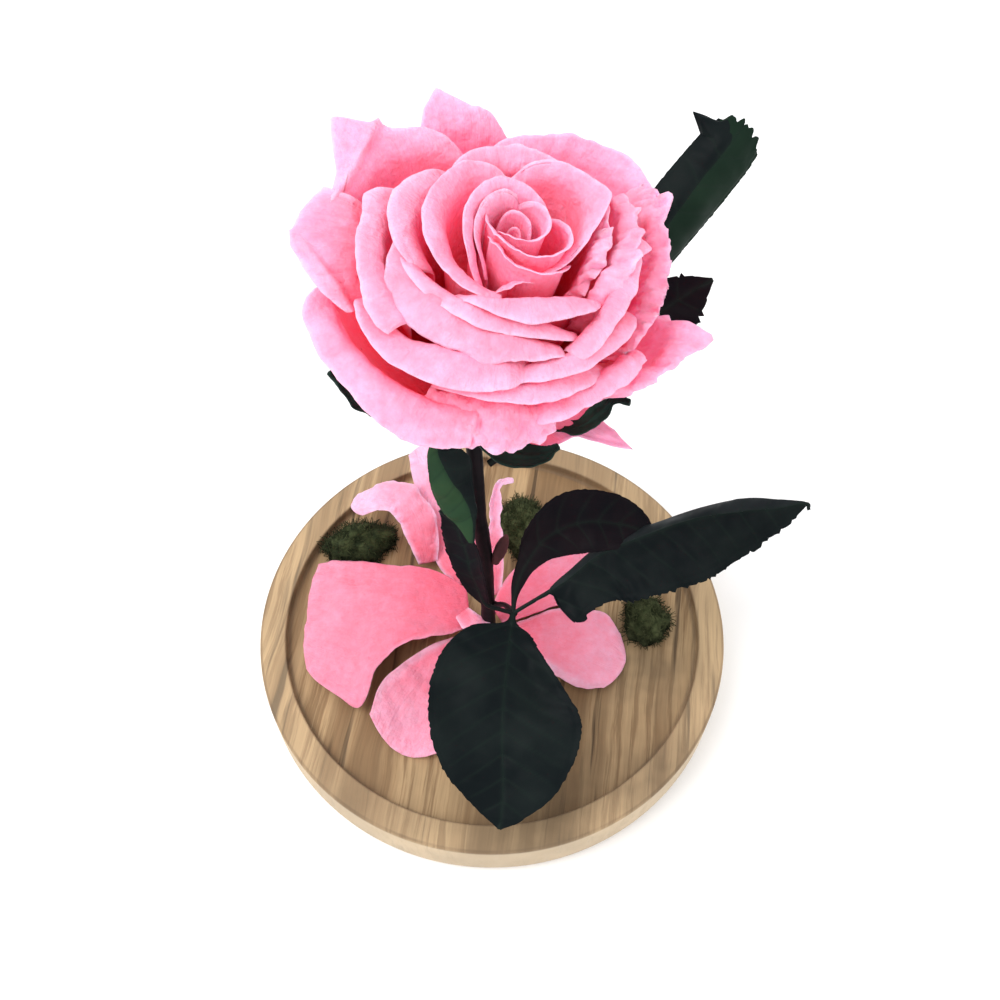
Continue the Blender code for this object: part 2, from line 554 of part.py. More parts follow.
def build_base(material):
    recess = BASE_RADIUS - RIM_WIDTH
    profile = [
        (0, 0),
        (BASE_RADIUS - 2 * BASE_EDGE, 0),
        (BASE_RADIUS - BASE_EDGE, 0.3 * BASE_EDGE),
        (BASE_RADIUS - 0.4 * BASE_EDGE, 1.2 * BASE_EDGE),
        (BASE_RADIUS, 2.6 * BASE_EDGE),
        (BASE_RADIUS, BASE_HEIGHT - 0.6),
        (BASE_RADIUS - 0.6, BASE_HEIGHT),
        (recess + 0.5, BASE_HEIGHT),
        (recess, BASE_HEIGHT - 0.5),
        (recess - 0.2, FLOOR + 0.8),
        (recess - 1.0, FLOOR),
        (0, FLOOR),
    ]
    return turned("wooden_base", profile, BASE_SIDES, material)


def build_hip(material, parent):
    profile = [
        (0, -HIP_HEIGHT),
        (0.35 * HIP_RADIUS, -HIP_HEIGHT),
        (0.62 * HIP_RADIUS, -0.80 * HIP_HEIGHT),
        (0.90 * HIP_RADIUS, -0.45 * HIP_HEIGHT),
        (HIP_RADIUS, -0.18 * HIP_HEIGHT),
        (0.95 * HIP_RADIUS, 0),
        (0, 0.2),
    ]
    return turned("rose_hip", profile, 16, material, parent)


def build_moss(name, place, material):
    """A low lumpy tuft with a flat underside."""
    x, y, half_x, half_y, tall, turn = place
    form = bmesh.new()
    bmesh.ops.create_icosphere(form, subdivisions=2, radius=1.0)
    spin = Matrix.Rotation(math.radians(turn), 3, "Z")
    for point in form.verts:
        p = point.co.copy()
        lump = 1 + 0.10 * math.sin(7 * p.x + x) * math.sin(6 * p.y + y) + 0.06 * math.sin(11 * p.z + 5 * p.x)
        wide = spin @ Vector((p.x * half_x * lump, p.y * half_y * lump, 0))
        high = FLOOR + GAP + tall * max(0.0, p.z) * lump
        point.co = (Vector((x, y, 0)) + Vector((wide.x, wide.y, high))) * MM
    flat = [point for point in form.verts if point.co.z < (FLOOR + GAP) * MM + 1e-7]
    inner = [face for face in form.faces if all(point in flat for point in face.verts)]
    bmesh.ops.dissolve_faces(form, faces=inner)
    mesh = bpy.data.meshes.new(name)
    form.to_mesh(mesh)
    form.free()
    return add_object(name, mesh, material)


def head_frame():
    lean = Matrix.Rotation(math.radians(HEAD_LEAN_FRONT), 4, "X") @ Matrix.Rotation(math.radians(HEAD_LEAN_RIGHT), 4, "Y")
    head = bpy.data.objects.new("flower_head", None)
    bpy.context.scene.collection.objects.link(head)
    head.matrix_world = Matrix.Translation(Vector(HEAD_PLACE) * MM) @ lean
    return head


def main():
    clear_scene()
    materials = {name: make_material(name) for name in COLOURS}
    build_base(materials["wood"])
    tube("main_stem", STEM, STEM_SIDES, materials["stem"])
    tube("side_shoot", SHOOT, 6, materials["stem"])
    tube("leaf_stalk", LEAF_STALK, 6, materials["stem"])
    head = head_frame()
    build_hip(materials["hip"], head)
    for number, sheet in enumerate(head_petals(), 1):
        add_sheet(f"petal_{number:02d}", sheet, PETAL_THICKNESS, materials["petal"], head)
    for name, sepal in SEPALS.items():
        stations = [
            (r * math.cos(math.radians(a)), r * math.sin(math.radians(a)), h, w, w, 0.4, 0.4)
            for r, a, h, w in sepal["line"]
        ]
        add_sheet(name, blade(stations, (0, 0, 1), 6, 2), LEAF_THICKNESS, materials["leaf"], head)
    for name, leaf in LEAVES.items():
        grid = blade(leaf["line"], leaf["up"], leaf["rows"], leaf["across"], leaf["teeth"])
        add_sheet(name, grid, LEAF_THICKNESS, materials["leaf"])
    for name, petal in FALLEN_PETALS.items():
        grid = blade(petal["line"], (0, 0, 1), 8, 4)
        add_sheet(name, grid, PETAL_THICKNESS, materials["petal"])
    for name, place in MOSS.items():
        build_moss(name, place, materials["moss"])


main()
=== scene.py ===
# The looks of a preserved rose on a round wooden base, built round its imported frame.
import math
import re

import bmesh
import bpy
import numpy as np
from mathutils import Matrix, Vector


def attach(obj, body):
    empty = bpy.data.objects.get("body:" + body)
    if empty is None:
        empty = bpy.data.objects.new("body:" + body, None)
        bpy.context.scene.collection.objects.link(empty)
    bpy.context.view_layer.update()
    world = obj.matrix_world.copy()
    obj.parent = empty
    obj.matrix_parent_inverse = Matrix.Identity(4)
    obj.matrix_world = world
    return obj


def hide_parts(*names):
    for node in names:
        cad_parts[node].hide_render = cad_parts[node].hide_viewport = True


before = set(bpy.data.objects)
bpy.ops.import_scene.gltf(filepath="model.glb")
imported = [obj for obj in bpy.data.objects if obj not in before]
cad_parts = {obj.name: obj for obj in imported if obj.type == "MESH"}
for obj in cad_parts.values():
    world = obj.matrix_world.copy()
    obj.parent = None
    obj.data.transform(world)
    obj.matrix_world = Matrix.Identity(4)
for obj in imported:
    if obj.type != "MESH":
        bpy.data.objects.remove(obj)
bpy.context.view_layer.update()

mm = 0.001  # the tables below are in millimetres and degrees
scene = bpy.context.scene
print("frame loaded:", len(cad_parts), "nodes")


# short ways to add nodes to one tree
class Net:
    def __init__(self, tree):
        self.tree = tree

    def link(self, output, socket):
        self.tree.links.new(output, socket)

    def add(self, kind, inputs=None, **settings):
        node = self.tree.nodes.new(kind)
        for name, value in settings.items():
            setattr(node, name, value)
        for name, value in (inputs or {}).items():
            if isinstance(value, bpy.types.NodeSocket):
                self.link(value, node.inputs[name])
            else:
                node.inputs[name].default_value = value
        return node

    def out(self, kind, inputs=None, **settings):
        return self.add(kind, inputs, **settings).outputs[0]

    def math(self, operation, a, b=0.0):
        return self.out("ShaderNodeMath", {0: a, 1: b}, operation=operation)

    def plus(self, a, b):
        return self.math("ADD", a, b)

    def minus(self, a, b):
        return self.math("SUBTRACT", a, b)

    def times(self, a, b):
        return self.math("MULTIPLY", a, b)

    def vector(self, x=0.0, y=0.0, z=0.0):
        return self.out("ShaderNodeCombineXYZ", {0: x, 1: y, 2: z})

    def remap(self, value, low, high, newLow=0.0, newHigh=1.0):
        return self.out("ShaderNodeMapRange", {"Value": value, 1: low, 2: high, 3: newLow, 4: newHigh})

    def mix(self, factor, a, b, blend="MIX"):
        return self.add("ShaderNodeMix", {0: factor, 6: a, 7: b}, data_type="RGBA",
                        blend_type=blend).outputs[2]

    def shade(self, tone, red, green, blue, factor=1.0):
        amount = self.out("ShaderNodeCombineColor", {0: red, 1: green, 2: blue})
        return self.mix(factor, tone, amount, "MULTIPLY")

    def stretch(self, vector, scale):
        return self.out("ShaderNodeMapping", {"Vector": vector, "Scale": scale})

    def noise(self, vector, scale=1.0, detail=3.0, roughness=0.5, distortion=0.0):
        return self.out("ShaderNodeTexNoise", {"Vector": vector, "Scale": scale, "Detail": detail,
                                               "Roughness": roughness, "Distortion": distortion})

    def body(self):
        return self.add("ShaderNodeTexCoord").outputs["Object"]

    def specks(self, body, scale, channel, few, size):
        spots = self.add("ShaderNodeTexVoronoi", {"Vector": body, "Scale": scale})
        split = self.add("ShaderNodeSeparateColor", {0: spots.outputs["Color"]})
        chosen = self.remap(split.outputs[channel], *few)
        return self.times(self.remap(spots.outputs["Distance"], *size, 1.0, 0.0), chosen)

    def bump(self, shader, height, strength, depth):
        bump = self.out("ShaderNodeBump", {"Strength": strength, "Distance": depth * mm, "Height": height})
        self.link(bump, shader.inputs["Normal"])

    def finish(self, geometry, material, put):
        real = self.out("GeometryNodeRealizeInstances", {"Geometry": geometry})
        smooth = self.out("GeometryNodeSetShadeSmooth", {"Geometry": real})
        self.link(self.out("GeometryNodeSetMaterial", {"Geometry": smooth, "Material": material}), put[0])
        return self.tree


black = (0.0, 0.0, 0.0, 1.0)
socketKinds = {tuple: "NodeSocketColor", float: "NodeSocketFloat", int: "NodeSocketInt"}


# a group with sockets named and valued by two dictionaries; without a value the name is the socket's kind
def newNet(name, kind, inputs, outputs):
    tree = bpy.data.node_groups.new(name, kind)
    for way, sockets in (("INPUT", inputs), ("OUTPUT", outputs)):
        for label, value in sockets.items():
            socketKind = socketKinds.get(type(value), "NodeSocket" + label)
            socket = tree.interface.new_socket(label, in_out=way, socket_type=socketKind)
            if value is not None and way == "INPUT":
                socket.default_value = value
    return Net(tree), tree.nodes.new("NodeGroupInput").outputs, tree.nodes.new("NodeGroupOutput").inputs


def shaderNet(name, inputs, outputs):
    return newNet(name, "ShaderNodeTree", inputs, outputs)


def geometryNet(name, inputs):
    return newNet(name, "GeometryNodeTree", dict(Geometry=None, **inputs), dict(Geometry=None))


def newMaterial(name, shaderValues, group=None, values=None):
    material = bpy.data.materials.new(name)
    material.use_nodes = True
    net = Net(material.node_tree)
    shader = net.tree.nodes["Principled BSDF"]
    for label, value in shaderValues.items():
        shader.inputs[label].default_value = value
    skin = group and net.add("ShaderNodeGroup", values, node_tree=group)
    return material, net, shader, skin


# shared effects, one group each

def petalSkinGroup():
    inputs = dict(Rise=0.5, Edge=0.0, Foot=(1.0, 0.3, 0.4, 1.0), Blade=(1.0, 0.4, 0.6, 1.0),
                  Rim=(1.0, 0.6, 0.8, 1.0), Fleck=0.5, Bruise=0.0)
    net, given, put = shaderNet("petalSkin", inputs, dict(Colour=black, Height=0.0))
    place = net.add("ShaderNodeTexCoord")
    body, uv = place.outputs["Object"], place.outputs["UV"]
    cloud = net.noise(body, 130.0, 3.0)
    fine = net.noise(body, 1500.0, 2.0, 0.6)
    # painted shade and light mixed with the petals' own colour: deep at the foot, pale at the rim and free
    # edge
    rise = net.plus(given["Rise"], net.times(net.minus(cloud, 0.5), 0.5))
    tone = net.mix(net.remap(rise, 0.12, 0.8), given["Foot"], given["Blade"])
    tone = net.mix(net.remap(rise, 0.78, 1.0, 0.0, 0.6), tone, given["Rim"])
    edge = net.plus(given["Edge"], net.times(net.minus(cloud, 0.5), 0.4))
    tone = net.mix(net.remap(edge, 0.35, 1.0), tone, given["Rim"])
    # fine veins that run from foot to rim, and a faint mottle
    veins = net.noise(net.stretch(uv, (58, 5, 1)), 1.0, 3.0, 0.6, 0.3)
    wide = net.noise(net.stretch(uv, (17, 2.2, 1)), 1.0, 2.0, 0.5, 0.4)
    shade = net.plus(net.times(veins, 0.16), net.times(fine, 0.14))
    shade = net.remap(shade, 0.05, 0.25, 0.86, 1.06)
    blotch = net.remap(net.noise(body, 430.0, 3.0, 0.65), 0.3, 0.7, 0.86, 1.1)
    shade = net.times(shade, blotch)
    tone = net.shade(tone, 1.0, shade, shade)
    # a few small dark specks
    speck = net.times(net.specks(body, 230.0, 0, (0.86, 0.9), (0.035, 0.075)), given["Fleck"])
    tone = net.mix(speck, tone, (0.32, 0.05, 0.09, 1))
    grey = net.times(net.remap(net.noise(body, 62.0, 2.0), 0.52, 0.7), given["Bruise"])
    tone = net.mix(grey, tone, (0.42, 0.19, 0.27, 1))
    net.link(tone, put["Colour"])
    height = net.plus(net.times(veins, 0.5), net.times(wide, 0.9))
    height = net.plus(height, net.times(fine, 0.3))
    crinkle = net.math("ABSOLUTE", net.minus(net.noise(body, 300.0, 3.0, 0.5), 0.5))
    height = net.plus(height, net.times(crinkle, 2.4))
    net.link(height, put["Height"])
    return net.tree


def leafSkinGroup():
    inputs = {"Vein": 0.0, "Blade": (0.01, 0.015, 0.017, 1.0), "Patch": (0.02, 0.02, 0.024, 1.0),
              "Vein colour": (0.010, 0.020, 0.015, 1.0), "Speck": 0.6}
    net, given, put = shaderNet("leafSkin", inputs, dict(Colour=black, Roughness=0.5, Height=0.0))
    body = net.body()
    cloud = net.noise(body, 90.0, 3.0)
    pores = net.add("ShaderNodeTexVoronoi", {"Vector": body, "Scale": 1700.0}).outputs["Distance"]
    tone = net.mix(net.remap(cloud, 0.4, 0.65), given["Blade"], given["Patch"])
    tone = net.mix(net.times(given["Vein"], 0.45), tone, given["Vein colour"])
    speck = net.specks(body, 150.0, 1, (0.9, 0.93), (0.03, 0.07))
    tone = net.mix(net.times(speck, given["Speck"]), tone, (0.3, 0.28, 0.3, 1))
    net.link(tone, put["Colour"])
    net.link(net.remap(cloud, 0.3, 0.7, 0.4, 0.56), put["Roughness"])
    height = net.plus(net.times(pores, 0.5), net.noise(body, 420.0, 3.0))
    net.link(height, put["Height"])
    return net.tree


def woodGrainGroup():
    inputs = dict(Turn=0.0, Light=(0.5, 0.36, 0.2, 1.0), Middle=(0.36, 0.24, 0.13, 1.0),
                  Dark=(0.1, 0.06, 0.03, 1.0), Dashes=1.0, Fibre=1.0)
    net, given, put = shaderNet("woodGrain", inputs, dict(Colour=black, Roughness=0.5, Height=0.0))
    body = net.body()
    turned = net.out("ShaderNodeVectorRotate", {"Vector": body, "Angle": given["Turn"]},
                     rotation_type="Z_AXIS")
    bent = net.vector(net.times(net.noise(net.stretch(turned, (30, 22, 30)), 1.0, 2.0), 0.006))
    along = net.out("ShaderNodeVectorMath", {0: turned, 1: bent}, operation="ADD")
    bands = net.noise(net.stretch(along, (120, 6, 40)), 1.0, 2.0, 0.5)
    streaks = net.noise(net.stretch(along, (430, 18, 130)), 1.0, 5.0, 0.7)
    fibre = net.noise(net.stretch(along, (1500, 60, 500)), 1.0, 2.0, 0.6)
    dashes = net.noise(net.stretch(along, (360, 17, 90)), 1.0, 3.0, 0.6, 0.2)
    tone = net.mix(net.remap(bands, 0.42, 0.58), given["Light"], given["Middle"])
    streak = net.times(net.remap(streaks, 0.48, 0.58), 0.85)
    tone = net.mix(streak, tone, given["Middle"])
    dash = net.times(net.remap(dashes, 0.58, 0.68), given["Dashes"])
    tone = net.mix(net.times(dash, 0.8), tone, given["Dark"])
    light = net.remap(fibre, 0.3, 0.7, 0.86, 1.1)
    tone = net.shade(tone, light, light, light, given["Fibre"])
    net.link(tone, put["Colour"])
    net.link(net.remap(streaks, 0.3, 0.7, 0.55, 0.72), put["Roughness"])
    height = net.minus(net.times(fibre, 0.4), net.times(dash, 0.6))
    net.link(height, put["Height"])
    return net.tree


petalSkin = petalSkinGroup()
leafSkin = leafSkinGroup()
woodGrain = woodGrainGroup()

# colours are linear; each petal finish runs from its foot over its blade to its rim
# the deep foot is partly painted shade between the petals, the pale rim partly painted light on the lit lips
petalFinishes = dict(
    rose=dict(Foot=(1.0, 0.145, 0.22, 1), Blade=(1.0, 0.32, 0.48, 1), Rim=(1.0, 0.50, 0.72, 1), Fleck=0.7,
        Bruise=0.0),
    fallen=dict(Foot=(0.88, 0.16, 0.25, 1), Blade=(0.88, 0.27, 0.39, 1), Rim=(0.90, 0.31, 0.44, 1),
        Fleck=0.1, Bruise=0.35),
    fallenMid=dict(Foot=(0.90, 0.17, 0.26, 1), Blade=(0.94, 0.34, 0.48, 1), Rim=(0.95, 0.40, 0.55, 1),
        Fleck=0.1, Bruise=0.2),
    fallenPale=dict(Foot=(0.95, 0.20, 0.30, 1), Blade=(0.98, 0.47, 0.66, 1), Rim=(0.98, 0.55, 0.75, 1),
        Fleck=0.1, Bruise=0.0),
)
leafFinishes = dict(
    leafTop=dict(Blade=(0.0035, 0.006, 0.007, 1), Patch=(0.007, 0.011, 0.011, 1)),
    # painted sheen: a paler grey for the leaf half that catches the sky's reflection
    leafSheen=dict(Blade=(0.017, 0.021, 0.023, 1), Patch=(0.010, 0.013, 0.015, 1), Speck=0.3),
    leafDeep=dict(Blade=(0.006, 0.017, 0.010, 1), Patch=(0.009, 0.022, 0.013, 1), Speck=0.2),
    leafBrown=dict(Blade=(0.008, 0.005, 0.007, 1), Patch=(0.004, 0.004, 0.006, 1)),
    leafGreen=dict(Blade=(0.024, 0.055, 0.024, 1), Patch=(0.018, 0.045, 0.022, 1), Speck=0.0),
    sepalGreen=dict(Blade=(0.008, 0.022, 0.018, 1), Patch=(0.014, 0.036, 0.026, 1), Speck=0.3),
    hipGreen=dict(Blade=(0.02, 0.05, 0.03, 1), Patch=(0.012, 0.03, 0.022, 1), Speck=0.2),
    stemDark=dict(Blade=(0.005, 0.005, 0.006, 1), Patch=(0.012, 0.008, 0.010, 1), Speck=0.7),
    shootBrown=dict(Blade=(0.09, 0.03, 0.032, 1), Patch=(0.05, 0.022, 0.024, 1), Speck=0.2),
)


def skinned(name, finish, group, shaderValues, masks, strength, depth):
    material, net, shader, skin = newMaterial(name, shaderValues, group, finish)
    for label in masks:
        mask = net.add("ShaderNodeAttribute", attribute_name=label.lower())
        net.link(mask.outputs["Fac"], skin.inputs[label])
    net.link(skin.outputs["Colour"], shader.inputs["Base Color"])
    if "Roughness" in skin.outputs:
        net.link(skin.outputs["Roughness"], shader.inputs["Roughness"])
    net.bump(shader, skin.outputs["Height"], strength, depth)
    return material


def petalMaterial(name, finish):
    softness = {"Subsurface Weight": 0.3, "Subsurface Radius": (1.0, 0.25, 0.35), "Subsurface Scale": 0.002,
                "Roughness": 0.65, "Specular IOR Level": 0.15}
    return skinned(name, finish, petalSkin, softness, ("Rise", "Edge"), 0.7, 0.5)


def leafMaterial(name, finish):
    return skinned(name, finish, leafSkin, {"Specular IOR Level": 0.05}, ("Vein",), 0.15, 0.1)


materials = {name: petalMaterial(name, finish) for name, finish in petalFinishes.items()}
materials.update({name: leafMaterial(name, finish) for name, finish in leafFinishes.items()})
print("materials mixed")


# small helpers for shapes

def smoothThrough(values, where):  # values at even knots, read by a smooth curve at 0 to 1
    values = np.asarray(values, float)
    padded = np.concatenate([[2 * values[0] - values[1]], values, [2 * values[-1] - values[-2]]])
    at = np.clip(where, 0.0, 1.0) * (len(values) - 1)
    knot = np.minimum(at.astype(int), len(values) - 2)
    t = at - knot
    if values.ndim > 1:
        t = t[..., None]
    a, b, c, d = (padded[knot + k] for k in range(4))
    return 0.5 * (2 * b + (c - a) * t + (2 * a - 5 * b + 4 * c - d) * t**2 + (3 * b - 3 * c + d - a) * t**3)


def lengthOf(line):
    steps = np.diff(np.asarray(line, float)[:, :3], axis=0)
    return np.linalg.norm(steps, axis=1).sum()


def ripples(u, v, size, seed, finer=3):  # uneven waves of about that size, mostly between -1 and 1
    draw = np.random.default_rng(seed)
    total = np.zeros(np.broadcast(u, v).shape)
    for step in range(finer):
        for _ in range(5):
            angle, phase = draw.uniform(0, 2 * math.pi, 2)
            pace = 2 * math.pi / size * 1.8**step * draw.uniform(0.7, 1.3)
            total += 0.42 * 0.55**step * np.sin((u * math.cos(angle) + v * math.sin(angle)) * pace + phase)
    return total


def sheetNormals(grid):
    down, across = np.gradient(grid, axis=0), np.gradient(grid, axis=1)
    normal = np.cross(across, down)
    return normal / np.maximum(np.linalg.norm(normal, axis=-1), 1e-9)[..., None]


def meshFrom(name, points, faces, material, uv=None, attributes=None):
    mesh = bpy.data.meshes.new(name)
    mesh.from_pydata((points * mm).tolist(), [], faces.tolist() if hasattr(faces, "tolist") else faces)
    mesh.materials.append(material)
    mesh.shade_smooth()
    if uv is not None:
        corners = np.empty(len(mesh.loops), np.int32)
        mesh.loops.foreach_get("vertex_index", corners)
        mesh.uv_layers.new(name="UVMap").data.foreach_set("uv", uv[corners].astype(np.float32).ravel())
    for label, values in (attributes or {}).items():
        layer = mesh.attributes.new(label, "FLOAT", "POINT")
        layer.data.foreach_set("value", values.astype(np.float32).ravel())
    thing = bpy.data.objects.new(name, mesh)
    scene.collection.objects.link(thing)
    return thing


# a closed thin shell round a sheet of points, with a thickness at each point
def shellFrom(name, grid, thickness, material, attributes):
    rows, columns = grid.shape[:2]
    offset = sheetNormals(grid) * (np.asarray(thickness) / 2)[..., None]
    points = np.concatenate([(grid + offset).reshape(-1, 3), (grid - offset).reshape(-1, 3)])
    index = np.arange(rows * columns).reshape(rows, columns)
    quads = np.stack([index[:-1, :-1], index[:-1, 1:], index[1:, 1:], index[1:, :-1]], -1).reshape(-1, 4)
    loop = np.concatenate([index[0], index[1:, -1], index[-1, -2::-1], index[-2:0:-1, 0]])
    after = np.roll(loop, -1)
    under = rows * columns
    rim = np.stack([after, loop, loop + under, after + under], -1)
    faces = np.concatenate([quads, quads[:, ::-1] + under, rim])
    u, v = np.meshgrid(np.linspace(0, 1, columns), np.linspace(0, 1, rows))
    uv = np.tile(np.stack([u, v], -1).reshape(-1, 2), (2, 1))
    doubled = {label: np.tile(values.ravel(), 2) for label, values in attributes.items()}
    return meshFrom(name, points, faces, material, uv, doubled)


# a piece rides on the body and stands for the node of the same name, such as mainStem for main_stem
def dress(piece, node=None):
    node = node or re.sub("([A-Z])", r"_\1", piece.name).lower()
    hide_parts(node)
    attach(piece, "root")


# a tree of geometry nodes run on a mesh, and its result as a plain mesh object
def growth(name, mesh, tree, values):
    source = bpy.data.objects.new(name + "Source", mesh)
    scene.collection.objects.link(source)
    modifier = source.modifiers.new(name, "NODES")
    modifier.node_group = tree
    sockets = {item.name: item.identifier for item in tree.interface.items_tree if item.in_out == "INPUT"}
    for label, value in values.items():
        modifier[sockets[label]] = value
    graph = bpy.context.evaluated_depsgraph_get()
    result = bpy.data.meshes.new_from_object(source.evaluated_get(graph), depsgraph=graph)
    result.name = name
    bpy.data.objects.remove(source, do_unlink=True)
    thing = bpy.data.objects.new(name, result)
    scene.collection.objects.link(thing)
    return thing


def pointOutwards(thing):
    form = bmesh.new()
    form.from_mesh(thing.data)
    bmesh.ops.remove_doubles(form, verts=form.verts, dist=1e-6)
    bmesh.ops.recalc_face_normals(form, faces=form.faces)
    form.to_mesh(thing.data)
    form.free()


# the camera stands where the photograph was taken from
cameraView = dict(place=(0.00165, -0.131, 0.2562), pitch=55.05, roll=0.6, lens=37.8)
camera = bpy.data.objects.new("camera", bpy.data.cameras.new("camera"))
scene.collection.objects.link(camera)
camera.data.sensor_width = 36
camera.data.lens = cameraView["lens"]
camera.data.clip_start = 0.01
pitch = Matrix.Rotation(math.radians(90 - cameraView["pitch"]), 4, "X")
roll = Matrix.Rotation(math.radians(cameraView["roll"]), 4, "Z")
camera.matrix_world = Matrix.Translation(cameraView["place"]) @ pitch @ roll
scene.camera = camera
scene.view_settings.view_transform = "Standard"
scene.cycles.use_denoising = True
scene.cycles.diffuse_bounces = 10  # light keeps its pink between the petals

lighting = dict(
    sky=1.05,
    key=dict(place=(-0.45, -0.15, 0.75), size=0.5, power=4.4, colour=(1.0, 0.985, 0.97)),
    fill=dict(place=(0.5, -0.4, 0.45), size=0.6, power=0.9, colour=(0.96, 0.98, 1.0)),
)
world = bpy.data.worlds.new("studio")
scene.world = world
world.use_nodes = True
world.node_tree.nodes["Background"].inputs[0].default_value = (1, 1, 1, 1)
world.node_tree.nodes["Background"].inputs[1].default_value = lighting["sky"]
for label in ("key", "fill"):
    light = lighting[label]
    lamp = bpy.data.objects.new(label, bpy.data.lights.new(label, "AREA"))
    lamp.data.size = light["size"]
    lamp.data.energy = light["power"]
    lamp.data.color = light["colour"]
    lamp.location = light["place"]
    lamp.rotation_euler = (Vector((0, 0, 0.08)) - lamp.location).to_track_quat("-Z", "Y").to_euler()
    scene.collection.objects.link(lamp)

floorMaterial = newMaterial("floorWhite", {"Base Color": (0.965, 0.97, 0.975, 1), "Roughness": 0.9})[0]
reach = 3000.0
corners = np.array([(-reach, -reach, 0), (reach, -reach, 0), (reach, reach, 0), (-reach, reach, 0)])
floor = meshFrom("floor", corners, [(0, 1, 2, 3)], floorMaterial)
print("camera, lights and floor set")


# the wooden base: a profile carried round a circle by geometry nodes
woodenBase = dict(
    radius=60.0, height=14.0, rim=6.6, recess=3.0, edge=1.6, sides=256, corner=5,
    stains=[(38.0, -12.0, 20.0, 0.6), (14.0, -55.0, 40.0, 0.5), (44.0, -40.0, 18.0, 0.45),
            (-30.0, -50.0, 20.0, 0.35)],
)


def profilePoints():
    b = woodenBase
    inner, bed = b["radius"] - b["rim"], b["height"] - b["recess"]
    points = [(0.0, 0.0), (0.5 * b["radius"], 0.0)]

    def arc(x, z, radius, start, end):
        for angle in np.radians(np.linspace(start, end, b["corner"] + 1)):
            points.append((x + radius * math.cos(angle), z + radius * math.sin(angle)))

    arc(b["radius"] - 2 * b["edge"], 2 * b["edge"], 2 * b["edge"], -90, 0)
    arc(b["radius"] - 0.6, b["height"] - 0.6, 0.6, 0, 90)
    arc(inner + 0.5, b["height"] - 0.5, 0.5, 90, 180)
    arc(inner - 1.0, bed + 1.0, 1.0, 0, -90)
    for share in np.linspace(0.96, 0.0, 16):
        points.append((share * (inner - 1.0), bed))
    return points


def discTree(material):
    net, given, put = geometryNet("turnedDisc", dict(Sides=128))
    size = net.add("GeometryNodeAttributeDomainSize", {"Geometry": given["Geometry"]})
    count = size.outputs["Point Count"]
    sheet = net.add("GeometryNodeMeshGrid", {"Size X": 1.0, "Size Y": 1.0,
                                             "Vertices X": net.plus(given["Sides"], 1.0),
                                             "Vertices Y": count})
    place = net.out("GeometryNodeInputPosition")
    split = net.add("ShaderNodeSeparateXYZ", {0: place}).outputs
    ring = net.math("ROUND", net.times(net.plus(split[1], 0.5), net.minus(count, 1.0)))
    read = net.add("GeometryNodeSampleIndex", {"Geometry": given["Geometry"]}, data_type="FLOAT_VECTOR")
    net.link(place, next(s for s in read.inputs if s.name == "Value" and s.enabled))
    net.link(ring, read.inputs["Index"])
    profile = net.add("ShaderNodeSeparateXYZ", {0: next(s for s in read.outputs if s.enabled)}).outputs
    angle = net.times(net.plus(split[0], 0.5), 2 * math.pi)
    x = net.times(profile[0], net.math("COSINE", angle))
    y = net.times(profile[0], net.math("SINE", angle))
    point = net.vector(x, y, profile[2])
    moved = net.add("GeometryNodeSetPosition", {"Geometry": sheet.outputs["Mesh"], "Position": point})
    closed = net.add("GeometryNodeMergeByDistance", {"Geometry": moved.outputs[0], "Distance": 0.01 * mm})
    return net.finish(closed.outputs[0], material, put)


def woodMaterial():
    finish = dict(Turn=math.radians(7), Light=(0.46, 0.31, 0.165, 1), Middle=(0.24, 0.145, 0.07, 1),
                  Dark=(0.05, 0.029, 0.014, 1), Dashes=1.0, Fibre=1.0)
    material, net, shader, skin = newMaterial("bareWood", {"Specular IOR Level": 0.3}, woodGrain, finish)
    body = net.body()
    flat = net.out("ShaderNodeVectorMath", {0: body, 1: (1.0, 1.0, 0.0)}, operation="MULTIPLY")
    radius = net.add("ShaderNodeVectorMath", {0: flat}, operation="LENGTH").outputs["Value"]
    high = net.add("ShaderNodeSeparateXYZ", {0: body}).outputs[2]
    rimInner = (woodenBase["radius"] - woodenBase["rim"]) * mm
    # the raised rim is paler, and the side is paler with a painted highlight
    onRim = net.remap(radius, rimInner - 0.2 * mm, rimInner + 0.3 * mm)
    tone = net.mix(net.times(onRim, 0.2), skin.outputs["Colour"], (0.62, 0.48, 0.31, 1))
    for x, y, wide, amount in woodenBase["stains"]:
        away = net.add("ShaderNodeVectorMath", {0: flat, 1: (x * mm, y * mm, 0)},
                       operation="DISTANCE").outputs["Value"]
        cloud = net.remap(net.noise(body, 60.0, 3.0, 0.6), 0.35, 0.6, 0.3, 1.0)
        stain = net.times(net.remap(away, 0.3 * wide * mm, wide * mm, 1.0, 0.0), cloud)
        tone = net.mix(net.times(stain, amount), tone, (0.085, 0.058, 0.032, 1))
    # painted highlight: the outer side is made paler
    onSide = net.remap(high, (woodenBase["height"] - 0.6) * mm, (woodenBase["height"] - 1.4) * mm)
    outside = net.times(onSide, net.remap(radius, 57 * mm, 59 * mm))
    tone = net.mix(net.times(outside, 0.6), tone, (0.74, 0.60, 0.42, 1))
    # painted shade, partly dirt, in the corner of the recess, and a darker line along the outer top edge
    for place, wide, amount in ((rimInner - 0.3 * mm, 0.9 * mm, 0.65),
                                ((woodenBase["radius"] - 0.35) * mm, 0.45 * mm, 0.5)):
        away = net.math("ABSOLUTE", net.minus(radius, place))
        line = net.remap(away, 0.25 * wide, wide, amount, 0.0)
        patchy = net.remap(net.noise(body, 120.0, 2.0), 0.3, 0.6, 0.4, 1.0)
        tone = net.mix(net.times(line, patchy), tone, (0.13, 0.085, 0.05, 1))
    net.link(tone, shader.inputs["Base Color"])
    net.link(skin.outputs["Roughness"], shader.inputs["Roughness"])
    net.bump(shader, skin.outputs["Height"], 0.5, 0.25)
    return material


